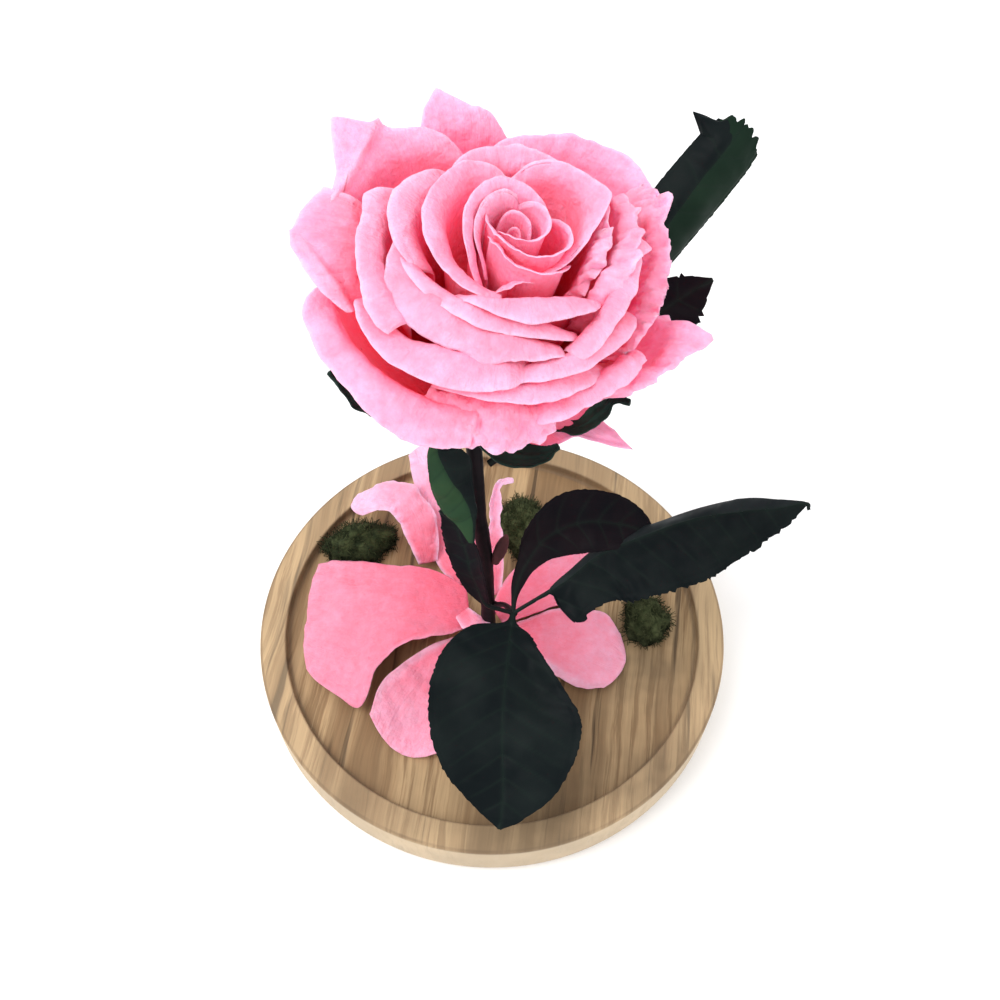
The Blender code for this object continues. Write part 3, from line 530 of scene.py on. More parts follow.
profile = bpy.data.meshes.new("baseProfile")
profile.from_pydata([(x * mm, 0.0, z * mm) for x, z in profilePoints()], [], [])
baseMesh = growth("woodenBase", profile, discTree(woodMaterial()), {"Sides": woodenBase["sides"]})
pointOutwards(baseMesh)
baseMesh.data.set_sharp_from_angle(angle=math.radians(35))
dress(baseMesh)
print("wooden base turned")


# stem, side shoot and stalks: x, y, z and radius along each, swept by geometry nodes
bed = woodenBase["height"] - woodenBase["recess"]
rods = dict(
    mainStem=dict(
        material="stemDark", knots=0.28, size=5.0,
        path=[(-1.1, 0.0, bed + 0.3, 2.0), (-1.2, 0.2, 26.0, 1.75), (-1.7, 0.6, 44.0, 1.8),
              (-3.0, 1.2, 62.0, 1.65), (-3.6, 2.4, 78.0, 1.7), (-4.4, 6.2, 90.0, 1.9),
              (-3.75, 5.7, 97.4, 2.1)],
    ),
    sideShoot=dict(
        material="shootBrown", knots=0.25, size=3.0,
        path=[(0.7, 0.2, 43.0, 1.1), (1.7, 0.1, 47.5, 1.5), (2.6, -0.2, 52.0, 1.2), (3.2, -0.4, 55.0, 0.5)],
    ),
    leafStalk=dict(
        material="stemDark", knots=0.1, size=2.5,
        path=[(0.5, 0.0, 22.6, 0.9), (0.9, -0.9, 24.0, 0.75), (3.0, -6.0, 33.0, 0.65),
              (4.6, -11.4, 40.0, 0.8), (5.0, -13.2, 42.0, 1.0)],
    ),
)


def rodTree():
    net, given, put = geometryNet("knobblyRod", dict(Knots=0.2, Size=4.0, Material=None))
    curve = net.out("GeometryNodeMeshToCurve", {"Mesh": given["Geometry"]})
    thick = net.out("GeometryNodeInputNamedAttribute", {"Name": "thick"}, data_type="FLOAT")
    ring = net.out("GeometryNodeCurvePrimitiveCircle", {"Resolution": 20, "Radius": 1.0})
    swept = net.out("GeometryNodeCurveToMesh", {"Curve": curve, "Profile Curve": ring, "Scale": thick,
                                                "Fill Caps": True})
    place = net.out("GeometryNodeInputPosition")
    pace = net.math("DIVIDE", 1000.0, given["Size"])
    bumps = net.minus(net.noise(place, pace, 3.0), 0.5)
    swell = net.times(bumps, net.times(given["Knots"], 2 * mm))
    push = net.out("ShaderNodeVectorMath", {0: net.out("GeometryNodeInputNormal"), "Scale": swell},
                   operation="SCALE")
    rough = net.add("GeometryNodeSetPosition", {"Geometry": swept, "Offset": push})
    return net.finish(rough.outputs[0], given["Material"], put)


knobblyRod = rodTree()


def sweepRod(name, path, knots, size, material):
    read = smoothThrough(path, np.linspace(0, 1, max(12, int(lengthOf(path) / 0.5))))
    mesh = bpy.data.meshes.new(name)
    mesh.from_pydata((read[:, :3] * mm).tolist(), [(i, i + 1) for i in range(len(read) - 1)], [])
    thick = mesh.attributes.new("thick", "FLOAT", "POINT")
    thick.data.foreach_set("value", (read[:, 3] * mm).astype(np.float32))
    rod = growth(name, mesh, knobblyRod, {"Knots": knots, "Size": size, "Material": material})
    pointOutwards(rod)
    return rod


for name, rod in rods.items():
    piece = sweepRod(name, rod["path"], rod["knots"], rod["size"], materials[rod["material"]])
    dress(piece)
print("stem and stalks swept")


# the flower head leans to the right and to the front; its petals are laid out round its own upright axis
head = dict(place=(-2.5, 4.0, 105.0), leanRight=8.0, leanFront=11.0, hipRadius=6.6, hipHeight=9.2)
toFront = Matrix.Rotation(math.radians(head["leanFront"]), 3, "X")
headTurn = toFront @ Matrix.Rotation(math.radians(head["leanRight"]), 3, "Y")


def fromHead(points):
    return points @ np.array(headTurn).T + np.array(head["place"])


petalForm = dict(
    footRadius=1.2, footHeight=0.8, footStep=0.14, bodyRows=24, foldRows=8, lipRows=14, spacing=0.55,
    thickness=0.22, edgeThickness=0.08, curl=28,
)
# span: azimuth of the two sides, 0 right, 90 back, 180 left, 270 front. rim: radius and height of the crest
# from side to side. There the petal folds outwards with radius fold to the angle turn, and runs on for lip,
# rolling by the form's curl. tip: extra length, place, half width. corner: how far the sides drop. base:
# share of the span at the foot. bowl, flare: how the side swells and leans out. crumple: depth of lengthwise
# creases a pleat apart. notch: unevenness of the edge. round: how round the lip's corners are. smooth: below
# 1 calms all ripples. crease: a straight sunk line from x, y to x, y as seen from above, and its depth.
# tongue: where the lip bends back inwards. pale: below 1 turns pale early, painted light on petals deep in
# shade.
petals = [
    dict(span=(-60, 150), rim=[(2.0, 41), (1.6, 42), (2.0, 42.8), (2.6, 42.3)], fold=0.6, turn=30, lip=0.2,
         pale=0.6),
    dict(span=(-30, 165), rim=[(3.4, 43), (3.4, 44), (4.0, 44.5), (4.0, 44.3)], fold=0.9, turn=40, lip=0.2,
         pale=0.5),
    dict(span=(-168, 100), rim=[(3.7, 45.2), (3.2, 45.6), (3.9, 45.7), (5.3, 46.0), (5.6, 46.4),
         (6.0, 46.0)], fold=0.8, turn=52, lip=0.35, corner=(0.02, 0.1), pale=0.3),
    dict(span=(160, 402), rim=[(5.3, 45.4), (3.9, 45.4), (4.4, 45), (6.6, 44.6), (9.1, 44.4), (6.8, 44.8)],
         fold=0.6, turn=62, lip=0.4, corner=(0.02, 0.06), pale=1.3),
    dict(span=(205, 350), rim=[(4.9, 44.2), (4.9, 43.8), (6.8, 43.4), (9.4, 42.8), (10.2, 42.4)], fold=0.7,
         turn=66, lip=0.5, corner=(0.0, 0.1), pale=1.3),
    dict(span=(72, 232), rim=[(6.8, 45.8), (7.1, 46.4), (7.3, 46.0), (7.3, 44.4), (7.2, 41.6)], fold=2.2,
         turn=56, lip=0.3, corner=(0.1, 0.1), pale=0.5),
    dict(span=(22, 238), rim=[(7.6, 45.4), (7.6, 46.6), (8.6, 47.2), (8.9, 46.8), (9.2, 44.8), (9.4, 41)],
         fold=2.6, turn=64, lip=0.4, corner=(0.06, 0.1)),
    dict(span=(-108, 100), rim=[(10.2, 40.0), (8.8, 41.0), (9.6, 41.8), (11.4, 42.8), (14.2, 44),
         (17.6, 45), (16.8, 45.6), (13, 44.8)], fold=3.6, turn=60, lip=0.5, tip=(2.6, 0.3, 0.22),
         corner=(0.04, 0.1)),
    dict(span=(82, 262), rim=[(12.6, 43), (15.2, 44.4), (15.2, 44.2), (14.4, 43), (12.4, 41), (10.8, 39.6)],
         fold=4.4, turn=78, lip=0.6, corner=(0.1, 0.02)),
    dict(span=(226, 334), rim=[(12.6, 39.6), (11.7, 41.0), (11.7, 41.2), (13.0, 41.4), (16.4, 41.8)],
         fold=1.4, turn=(80, 105, 100), lip=(0.6, 3.0, 2.4), corner=(0.05, 0.1)),
    dict(span=(190, 312), rim=[(17.4, 39.2), (14.6, 39.0), (13.2, 39.1), (13.3, 39.2), (14.4, 39.4),
         (17.4, 39.8)], fold=1.4, turn=(85, 105, 110, 110), lip=(1.6, 1.8, 2.0, 1.8, 1.4),
         corner=(0.01, 0.1)),
    dict(span=(118, 200), rim=[(16.2, 42.0), (17.3, 41.7), (17.8, 41.2), (15.6, 40.2)], fold=3.0, turn=85,
         lip=(1.2, 2.8, 1.6), corner=(0.12, 0.05)),
    dict(span=(42, 138), rim=[(16.4, 42.4), (17.0, 42.8), (17.0, 42.8), (16.6, 42.8)], fold=3.0,
         turn=(70, 85, 80), lip=(0.8, 1.2, 0.8), corner=(0.1, 0.1)),
    dict(span=(178, 300), rim=[(17.0, 39.6), (15.8, 38.8), (14.8, 38.0), (14.8, 37.8), (15.8, 37.9),
         (18.4, 38.4)], fold=1.8, turn=(90, 115, 128, 120), lip=(2.6, 6.2, 4.4, 2.8, 0.8),
         tip=(1.6, 0.32, 0.2), corner=(0.02, 0.06), pale=2.2),
    dict(span=(142, 220), rim=[(18.8, 39.8), (22.0, 40.2), (22.4, 39.0), (22.4, 36.8)], fold=2.8,
         turn=(75, 92, 110), lip=(0.4, 1.6, 1.8, 2.6), tip=(2.0, -0.46, 0.25), corner=(0.05, 0.02),
         crumple=0.15),
    dict(span=(301, 378), rim=[(19.2, 37.2), (18.4, 38.6), (18.8, 40.4), (20.0, 42.0)], fold=1.4,
         turn=(125, 112, 118), lip=(2.6, 1.8, 1.6, 1.6), tip=(3.0, 0.74, 0.2), corner=(0.03, 0.06),
         pale=1.6),
    dict(span=(199, 284), rim=[(25.0, 34.6), (23.0, 35.2), (20.4, 35.2), (18.6, 35.0), (17.6, 34.8)],
         fold=2.0, turn=(90, 110, 115), lip=(1.6, 4.2, 4.4, 2.8), corner=(0.02, 0.05), pale=2.0),
    dict(span=(-36, 62), rim=[(12.4, 40.4), (13.8, 42.4), (16.4, 43.4), (18.0, 43.0)], fold=1.6,
         turn=(90, 70, 60), lip=(2.0, 1.2, 0.8), crumple=0.75, pleat=4.6, notch=0.4),
    dict(span=(262, 350), rim=[(18.8, 34.6), (19.2, 35.0), (20.4, 36.4), (22.2, 38.4)], fold=1.2,
         turn=(110, 115, 105), lip=(1.4, 2.4, 2.0), pale=1.6),
    dict(span=(-36, 50), rim=[(15.6, 39.2), (17.2, 41.6), (19.8, 42.4), (21.6, 42.0)], fold=1.6,
         turn=(110, 90, 75), lip=(2.4, 2.4, 1.4), crumple=0.7, pleat=5.2, notch=0.4),
    dict(span=(238, 326), rim=[(21.6, 31.0), (20.6, 31.6), (21.0, 32.4), (22.6, 33.8)], base=0.5, fold=1.2,
         turn=(110, 120, 110), lip=(0.6, 2.6, 1.8)),
    dict(span=(20, 108), rim=[(30.0, 39.2), (29.4, 40.0), (23.6, 40.8), (21.6, 41.2)], fold=4.0, bowl=1.3,
         flare=0.5, turn=(75, 82, 75), lip=(0.8, 1.0, 0.8), corner=(0.05, 0.12)),
    dict(span=(-34, 40), rim=[(25.8, 34.2), (27.6, 36.4), (28.6, 38.2), (29.6, 39.2)], fold=5.5,
         turn=(64, 66, 72), lip=(1.0, 1.2, 1.2), tip=(3.4, 0.67, 0.22), corner=(0.1, 0.02), crumple=0.9,
         pleat=4.4, notch=0.2, round=0.4),
    dict(span=(110, 178), rim=[(23.0, 41.6), (26.4, 42.2), (30.2, 41.6), (30.6, 40.2), (29.2, 37.6)],
         fold=5.0, bowl=1.3, flare=0.5, turn=(80, 74, 66), lip=(1.6, 1.8, 1.4), tip=(5.6, 0.06, 0.36),
         corner=(0.1, 0.02), pleat=11.0, crease=(-20.1, 13.2, -25.7, 2.2, 1.3), notch=0.05, round=0.3,
         lipRows=34, smooth=0.45),
    dict(span=(86, 128), rim=[(26.4, 40.2), (29.0, 41.0), (30.2, 40.4)], fold=4.0, bowl=1.3, flare=0.5,
         turn=64, lip=1.8, tip=(3.4, 0.33), corner=(0.15, 0.15)),
    dict(span=(164, 200), rim=[(24.4, 38.4), (24.8, 37.8), (25.4, 36.8), (25.6, 34.8), (25.0, 32.4)],
         base=0.5, fold=2.4, turn=(82, 88, 100), lip=(8.2, 9.2, 9.4, 5.6, 1.6), corner=(0.0, 0.02),
         crumple=0.3, pleat=5.5, round=0.1, notch=0.12, lipRows=26, pale=4.2,
         crease=(-30.2, -4.6, -22.4, -11.1, 1.4)),
    dict(span=(176, 262), rim=[(29.0, 31.0), (29.4, 29.6), (27.2, 27.8), (25.4, 27.2), (23.4, 27.0)],
         base=0.9, fold=1.8, turn=(105, 122, 128, 134, 136), lip=(1.0, 3.4, 3.8, 5.8, 5.8),
         corner=(0.0, 0.02), crumple=0.08, pleat=10.0, round=0.3, smooth=0.7, tongue=(-0.7, 0.12, 130, 3.2),
         pale=1.7),
    dict(span=(280, 342), rim=[(22.4, 28.6), (23.4, 30), (24.8, 31.6), (26.0, 32.6)], fold=1.8,
         turn=(125, 125, 105), lip=(1.8, 1.6, 1.5), crumple=0.2, pleat=7.0),
    dict(span=(238, 296), rim=[(22.4, 25.6), (21.8, 27.4), (21.8, 27.8), (22.6, 27.0)], base=0.85, fold=2.2,
         turn=(130, 145, 140), lip=(5.4, 6.4, 5.6, 2.6), tip=(1.2, 0.33), corner=(0.02, 0.1), crumple=0.5,
         pleat=3.6, round=0.4),
    dict(span=(-46, 2), rim=[(26.4, 27.6), (29.2, 28.4), (32.4, 29.2), (32.8, 30.6)], fold=3.5, bowl=1.4,
         flare=0.4, turn=80, lip=(1.0, 1.8, 2.0), tip=(3.6, 0.46, 0.3), crumple=0.9, pleat=7.0, notch=0.4),
    dict(span=(284, 336), rim=[(18.0, 3.0), (22.0, 4.8), (26.8, 12.0)], fold=2.0, bowl=1.2, flare=0.6,
         turn=80, lip=0.6, tip=(10.4, 0.62, 0.24), crumple=0.3, pleat=6.0),
]


def acrossValues(value, share):
    return smoothThrough(value, share) if isinstance(value, (list, tuple)) else np.full_like(share, value)


def petalSheet(petal, rank):
    f = petalForm
    start, end = petal["span"]
    middle, half = (start + end) / 2, (end - start) / 2
    widest = max(radius for radius, _ in petal["rim"])
    columns = int(np.clip(math.radians(end - start) * widest / f["spacing"], 36, 100))
    u = np.linspace(-1, 1, columns)
    share = (u + 1) / 2
    rim = smoothThrough(petal["rim"], share)
    fold = petal["fold"]
    turn = np.radians(acrossValues(petal["turn"], share))
    tipLength, tipPlace, tipWide = (*petal.get("tip", (0.0, 0.0)), 0.42)[:3]
    lip = np.atleast_1d(petal["lip"])
    lip = np.interp(share, np.linspace(0, 1, len(lip)), lip)  # straight runs leave corners in the rim
    lip = lip + tipLength * np.clip(1 - np.abs(u - tipPlace) / tipWide, 0, 1) ** 1.2
    lip = lip * (1 - petal.get("round", 0.75) * u**6)
    around = np.radians(middle + half * u) * widest
    lip = np.maximum(lip + petal.get("notch", 0.06) * ripples(around, 0, 4.0, 500 + rank), 0.15)
    foot = f["footRadius"] + f["footStep"] * rank
    bowl, flare = petal.get("bowl", 1.9), petal.get("flare", 0.25)
    left, right = petal.get("corner", (0.2, 0.2))
    corner = 1 - np.where(u < 0, left, right) * u**4
    reach, climb = rim[:, 0] - fold - foot, rim[:, 1] - fold - f["footHeight"]
    base = petal.get("base", 0.34)
    azimuth, radius, height, rise = [], [], [], []
    for step in np.linspace(0, 1, f["bodyRows"]):
        t = corner * step
        up = t**1.2
        out = (1 - flare) * (1 - (1 - up) ** bowl) + flare * up
        radius.append(foot + reach * out)
        height.append(f["footHeight"] + climb * up)
        spread = np.sin(0.5 * np.pi * np.clip(t / 0.75, 0, 1)) ** 0.9
        azimuth.append(middle + half * u * (base + (1 - base) * spread))
        rise.append(np.full_like(u, 0.8 * step))
    lean = np.arctan2(reach * ((1 - flare) * bowl * (1 - up) ** (bowl - 1) + flare), climb)
    place, wide, bend, longer = petal.get("tongue", (0, 1, 0, 0))
    inTongue = np.exp(-(((u - place) / wide) ** 2))
    turn = np.maximum(turn, lean + 0.1) - math.radians(bend) * inTongue
    lip = lip + longer * inTongue
    crestRadius, crestHeight = radius[-1], height[-1]
    way = np.sign(turn - lean) * fold
    for step in np.linspace(0, 1, f["foldRows"] + 1)[1:]:
        angle = lean + (turn - lean) * step
        radius.append(crestRadius + way * (np.cos(lean) - np.cos(angle)))
        height.append(crestHeight + way * (np.sin(angle) - np.sin(lean)))
        azimuth.append(azimuth[-1])
        rise.append(np.full_like(u, 0.8 + 0.1 * step))
    curl = math.radians(f["curl"])
    lipRows = petal.get("lipRows", f["lipRows"])
    stride = lip / lipRows
    for step in np.linspace(0, 1, lipRows + 1)[1:]:
        angle = turn + curl * (step**2 - 0.33)
        radius.append(radius[-1] + stride * np.sin(angle))
        height.append(height[-1] + stride * np.cos(angle))
        azimuth.append(azimuth[-1])
        rise.append(np.full_like(u, 0.9 + 0.1 * step))
    azimuth, radius, height, rise = (np.array(rows) for rows in (azimuth, radius, height, rise))
    angle = np.radians(azimuth)
    grid = np.stack([radius * np.cos(angle), radius * np.sin(angle), height], -1)
    # how near each point is to the free edge, in millimetres
    side = (1 - np.abs(u))[None] * math.radians(half) * radius
    rows = np.linalg.norm(np.diff(grid, axis=0), axis=-1)
    toTop = np.concatenate([np.cumsum(rows[::-1], axis=0)[::-1], np.zeros((1, columns))])
    near = np.minimum(toTop, side)
    return grid, rise, near, around[None] + 0 * near, toTop


def addPetal(number, petal):
    grid, rise, near, around, down = petalSheet(petal, number - 1)
    grid = fromHead(grid)
    x1, y1, x2, y2, sink = petal.get("crease", (0, 0, 1, 0, 0))
    away = (grid[..., 0] - x1) * (y2 - y1) - (grid[..., 1] - y1) * (x2 - x1)
    away = away / math.hypot(x2 - x1, y2 - y1)
    crease = -sink * np.exp(-((away / 0.6) ** 2)) * np.clip((rise - 0.6) / 0.2, 0, 1)
    free = np.clip(rise - 0.35, 0, 1) / 0.65  # only the upper part may ripple
    ruffle = petal.get("smooth", 1.0)
    seed = 10 * number
    wave = 0.34 * free**2 * ripples(around, down, 17.0, seed)
    wave += 0.09 * np.exp(-near / 2.2) * free * ripples(around, down * 0.5, 5.5, seed + 1)
    wave += 0.035 * ripples(around, down * 0.3, 2.1, seed + 2) * free
    creases = np.abs(ripples(around, down * 0.35, petal.get("pleat", 7.0), seed + 3)) - 0.35
    crumple = 0.08 + 0.008 * number + 1.5 * petal.get("crumple", 0.0)
    wave = ruffle * (wave + crumple * free**2 * creases) + crease
    grid = grid + wave[..., None] * sheetNormals(grid)
    f = petalForm
    thick = f["edgeThickness"] + (f["thickness"] - f["edgeThickness"]) * (1 - np.exp(-near / 0.5))
    # rise and edge carry painted shade at the foot and painted light at the rim and free edge
    edge = np.exp(-near / 1.1) * np.clip(rise * 1.6 - 0.6, 0, 1)
    attributes = dict(rise=rise ** petal.get("pale", 1.0), edge=edge)
    piece = shellFrom(f"rosePetal{number:02d}", grid, thick, materials["rose"], attributes)
    dress(piece, f"petal_{number:02d}")


for number, petal in enumerate(petals, 1):
    addPetal(number, petal)
print("rose petals folded:", len(petals))


# leaves and loose petals follow a middle line; its stations say x, y, z, both half widths and both lifts
def bladeSheet(line, up, rows, columns, gather=0.0):
    read = smoothThrough(line, np.linspace(0, 1, rows))
    middle = read[:, :3]
    left, right = np.maximum(read[:, 3], 0.35), np.maximum(read[:, 4], 0.35)
    along = np.gradient(middle, axis=0)
    along /= np.linalg.norm(along, axis=1)[:, None]
    side = np.cross(along, np.asarray(up, float))
    side /= np.linalg.norm(side, axis=1)[:, None]
    over = np.cross(side, along)
    x = np.linspace(-1, 1, columns)
    q = x - gather * np.sin(2 * np.pi * x)
    width = np.where(q[None] < 0, left[:, None], right[:, None]) * q[None]
    lift = np.where(q[None] < 0, read[:, 5:6], read[:, 6:7]) * q[None] ** 2
    steps = np.linalg.norm(np.diff(middle, axis=0), axis=1)
    length = np.concatenate([[0], np.cumsum(steps)])
    grid = middle[:, None] + width[..., None] * side[:, None] + lift[..., None] * over[:, None]
    return grid, q, width, length, side, over


# teeth and material: of the left and the right half. split: the left half's share of the width from foot to
# tip. dents: place along, place across, both sizes, depth. torn: how rough and how bulged the end is. spur:
# a point on the left edge, with its place along, half length and reach.
leafForm = dict(
    rowSpacing=0.32, columns=57, gather=0.11, thickness=0.42, edgeThickness=0.22, ribThickness=0.5,
    veinSpacing=3.1, veinWidth=0.33, veinDepth=0.08, ribWidth=0.5, ribDepth=0.3,
)
leaves = dict(
    leafletFront=dict(
        material=("leafTop", "leafTop"), up=(0.0, -0.35, 1.0), teeth=(0.35, 0.4), pitch=1.7, pucker=0.05,
        dents=[(0.34, -0.5, 0.13, 0.35, 2.6), (0.30, 0.35, 0.12, 0.3, -1.2), (0.62, -0.3, 0.2, 0.3, -0.9)],
        line=[(5.0, -13.2, 42, 0.5, 0.5, 0, 0), (4.7, -16.0, 42.2, 1.2, 2.0, 0, 0),
              (4.4, -18.4, 42.6, 4.2, 9.6, 0.2, 0), (4.0, -22.5, 42.4, 7.0, 13.6, 0.6, -0.4),
              (3.2, -29.5, 40.8, 12.6, 16.2, 1.2, 0.4), (2.7, -37.0, 37.8, 17.2, 16.3, 2.0, 1.6),
              (2.8, -44.5, 34.4, 16.2, 14.2, 1.8, 1.6), (3.0, -51.0, 31.2, 12.0, 10.0, 1.2, 1.0),
              (2.7, -56.0, 28.8, 5.4, 4.6, 0.3, 0.3), (2.3, -58.7, 27.5, 0.4, 0.4, 0, 0)],
    ),
    leafletRight=dict(
        material=("leafSheen", "leafTop"), up=(-0.35, -0.6, 1.0), teeth=(0.0, 0.85), pitch=2.3, pucker=0.06,
        dents=[(0.5, 0.35, 0.2, 0.35, -1.2), (0.72, 0.5, 0.1, 0.3, 0.8)],
        line=[(5.0, -13.2, 42, 0.45, 0.45, 0, 0), (9.5, -10.8, 43.3, 0.45, 0.45, 0, 0),
              (13.4, -8.9, 44.5, 0.6, 0.7, 0, 0), (14.6, -8.4, 45.2, 0.9, 9.4, 0, 1.5),
              (18.6, -6.4, 47.6, 1.6, 9.2, -0.8, 2.0), (25.2, -2.6, 51.2, 2.2, 12.2, -2.5, 2.5),
              (35.2, -0.6, 56, 2.4, 13.6, -4, 2.5), (46.2, 0.6, 61.5, 2.6, 13.4, -4, 2),
              (55.0, -0.6, 66.2, 3.0, 9.6, -2.5, 1.5), (61.5, -2.6, 70.6, 1.8, 5.0, -0.8, 0.8),
              (66.2, -3.9, 74.2, 0.4, 0.8, 0, 0), (67.0, -4.9, 73.4, 0.3, 0.3, 0, 0)],
    ),
    leafletBackRight=dict(
        material=("leafBrown", "leafBrown"), up=(0.0, -0.3, 1.0), teeth=(0.3, 0.12), pitch=1.8, pucker=0.05,
        line=[(5.0, -13.2, 42, 0.45, 0.45, 0, 0), (5.2, -10.2, 43.4, 0.7, 0.7, 0, 0),
              (5.9, -7.2, 45.2, 1.4, 1.5, 0, 0), (8.0, -3.4, 47.8, 2.4, 2.4, 0, 0),
              (11.8, 1.0, 50.8, 5.2, 5.0, 0.3, -0.6), (18.0, 3.8, 53.2, 7.8, 6.8, 0.5, -1),
              (25.0, 4.2, 54.4, 7.4, 6.8, 0.5, -1), (32.0, 2.6, 54.5, 5.4, 5.2, 0, 0),
              (37.6, 0.0, 54, 0.5, 0.5, 0, 0)],
    ),
    leafletLeft=dict(
        material=("leafBrown", "leafBrown"), up=(-0.5, -1.0, 0.2), teeth=(0.55, 0.25), pitch=1.7,
        pucker=0.06,
        line=[(5.0, -13.2, 42, 0.45, 0.45, 0, 0), (2.0, -12.3, 42.0, 0.45, 0.45, 0, 0),
              (-1.2, -11.4, 42.6, 0.9, 0.9, 0, 0), (-3.1, -10.2, 47, 2.8, 2.8, 0.6, 0.6),
              (-4.6, -8.4, 53, 4.0, 3.8, 1, 1), (-6.2, -5.8, 59, 4.4, 4.2, 1, 1),
              (-8.8, -3.2, 64.5, 3.0, 3.0, 0.5, 0.5), (-11.4, -1.6, 67.0, 0.4, 0.4, 0, 0)],
    ),
    leafUpperLeft=dict(
        material=("leafTop", "leafGreen"), up=(0.2, -1.0, 0.5), teeth=(0.1, 0.12), pitch=1.8, pucker=0.05,
        line=[(-4.2, 4.4, 84.5, 0.5, 0.5, 0, 0), (-7.2, 1.8, 88.5, 0.6, 0.6, 0, 0),
              (-11.0, -1.8, 89.0, 3.4, 1.6, -1.0, -0.5), (-8.8, -4.2, 83, 5.4, 4.2, -2.0, -1.4),
              (-5.9, -5.4, 77, 2.6, 5.6, -1.6, -2.0), (-4.0, -7.2, 71.5, 0.8, 4.4, -0.8, -1.6),
              (-4.2, -9.4, 66.2, 0.4, 0.8, 0, 0)],
    ),
    leafUpperRight=dict(
        material=("leafTop", "leafDeep"), up=(0.35, -0.55, 0.75), teeth=(0.12, 0.2), pitch=1.9,
        split=(0.5, 0.5, 0.5, 0.42, 0.06), torn=(0.5, 1.8), spur=(0.965, 0.026, 4.4), pucker=0.07,
        line=[(-1.0, 4.6, 84, 0.8, 0.8, 0, 0), (12, 13, 97, 0.9, 0.9, 0, 0),
              (24, 23, 108, 4.6, 5.4, -2.5, -2.5), (34, 32, 118, 5.6, 7.0, -4.0, -4.0),
              (43, 40, 127, 5.2, 7.4, -3.6, -4.0), (46.2, 43.0, 130.0, 4.6, 7.0, -3, -3.6),
              (47.4, 44.3, 131.1, 4.2, 6.4, -2.6, -3)],
    ),
    leafRightSerrated=dict(
        material=("leafBrown", "leafBrown"), up=(0.0, -0.7, 0.7), teeth=(0.9, 1.2), pitch=2.0, pucker=0.06,
        line=[(-0.8, 2.4, 78.6, 0.8, 0.8, 0, 0), (12, 6.6, 88, 0.9, 0.9, 0, 0),
              (23, 14.2, 99.6, 4.4, 6.6, 0, 0), (32, 17.0, 108.4, 6.6, 8.6, 0, 0),
              (37.5, 17.6, 113.6, 3.8, 4.6, 0, 0), (41.4, 17.4, 117.4, 0.4, 0.4, 0, 0)],
    ),
)


def paintLeftHalf(piece, rows, columns, material, split):
    piece.data.materials.append(material)
    border = np.interp(np.linspace(0, 1, rows - 1), np.linspace(0, 1, len(split)), split) * (columns - 1)
    onLeft = np.tile((np.arange(columns - 1)[None] < border[:, None]).ravel(), 2)
    index = np.zeros(len(piece.data.polygons), np.int32)
    index[: len(onLeft)] = onLeft
    piece.data.polygons.foreach_set("material_index", index)


def addLeaf(name, leaf, seed):
    f = leafForm
    length = lengthOf(leaf["line"])
    rows = int(length / f["rowSpacing"])
    grid, q, width, at, side, over = bladeSheet(leaf["line"], leaf["up"], rows, f["columns"], f["gather"])
    along = (at / at[-1])[:, None]
    rowWidth = np.abs(width).max(axis=1)
    # saw teeth that lean towards the tip, of uneven size and spacing
    draw = np.random.default_rng(seed)
    for half, deep in zip((-1, 1), leaf["teeth"]):
        pace = at / leaf["pitch"] + 0.3 * ripples(at, 0, 5.0, seed + 5 + half)
        pace = np.maximum(np.maximum.accumulate(pace) + 1, 0)
        size = draw.uniform(0.25, 1.35, int(pace[-1]) + 2)[pace.astype(int)]
        tooth = deep * size * (pace % 1.0 - 0.35) * np.clip((rowWidth - 1.4) / 2.5, 0, 1)
        edge = np.clip((half * q - 0.84) / 0.16, 0, 1) ** 1.5
        grid = grid + (half * tooth[:, None] * edge[None])[..., None] * side[:, None]
    # a sunk midrib, side veins that run out towards the tip, and a blade that swells between them
    away = np.abs(width)
    step = f["veinSpacing"] + 0.04 * length
    lane = ((at[:, None] - 0.62 * away) / step) % 1.0
    inBlade = np.clip((rowWidth - 1.5) / 3.0, 0, 1)[:, None] * (1 - np.abs(q)[None] ** 4)
    vein = np.exp(-(((lane - 0.5) * step) / f["veinWidth"]) ** 2) * inBlade
    midrib = np.exp(-(away / f["ribWidth"]) ** 2)
    swell = np.sin(np.pi * ((lane + 0.5) % 1.0)) ** 2 * inBlade
    rough, bulge = leaf.get("torn", (0.0, 0.0))
    ragged = along**20 * (bulge * (1 - q[None] ** 2) + rough * ripples(0, width, 2.6, seed + 3))
    grid = grid + ragged[..., None] * np.cross(over, side)[:, None]
    place, half, far = leaf.get("spur", (0.0, 1.0, 0.0))
    spike = far * np.clip(1 - np.abs(along - place) / half, 0, 1) * np.clip((-q - 0.6) / 0.4, 0, 1)[None]
    grid = grid - spike[..., None] * side[:, None]
    relief = leaf["pucker"] * (swell - 0.5) - f["veinDepth"] * vein
    relief -= f["ribDepth"] * midrib * np.clip((rowWidth - 1.2) / 2, 0, 1)[:, None]
    relief += 0.3 * ripples(at[:, None], width, 14.0, seed + 1) * inBlade
    sideWave = ripples(at[:, None], 4 * np.sign(width), 9.0, seed + 2)
    relief += 0.45 * np.abs(q)[None] ** 3 * sideWave * inBlade
    for place, across, tall, wide, deep in leaf.get("dents", []):
        relief -= deep * np.exp(-(((along - place) / tall) ** 2) - ((q[None] - across) / wide) ** 2)
    grid = grid + relief[..., None] * sheetNormals(grid)
    thick = np.where(np.abs(q)[None] > 0.9, f["edgeThickness"], f["thickness"]) + f["ribThickness"] * midrib
    attributes = dict(vein=np.clip(vein * 0.7 + midrib, 0, 1))
    leftFinish, rightFinish = leaf["material"]
    piece = shellFrom(name, grid, thick, materials[rightFinish], attributes)
    if leftFinish != rightFinish:
        paintLeftHalf(piece, rows, len(q), materials[leftFinish], leaf.get("split", (0.5, 0.5)))
    dress(piece)


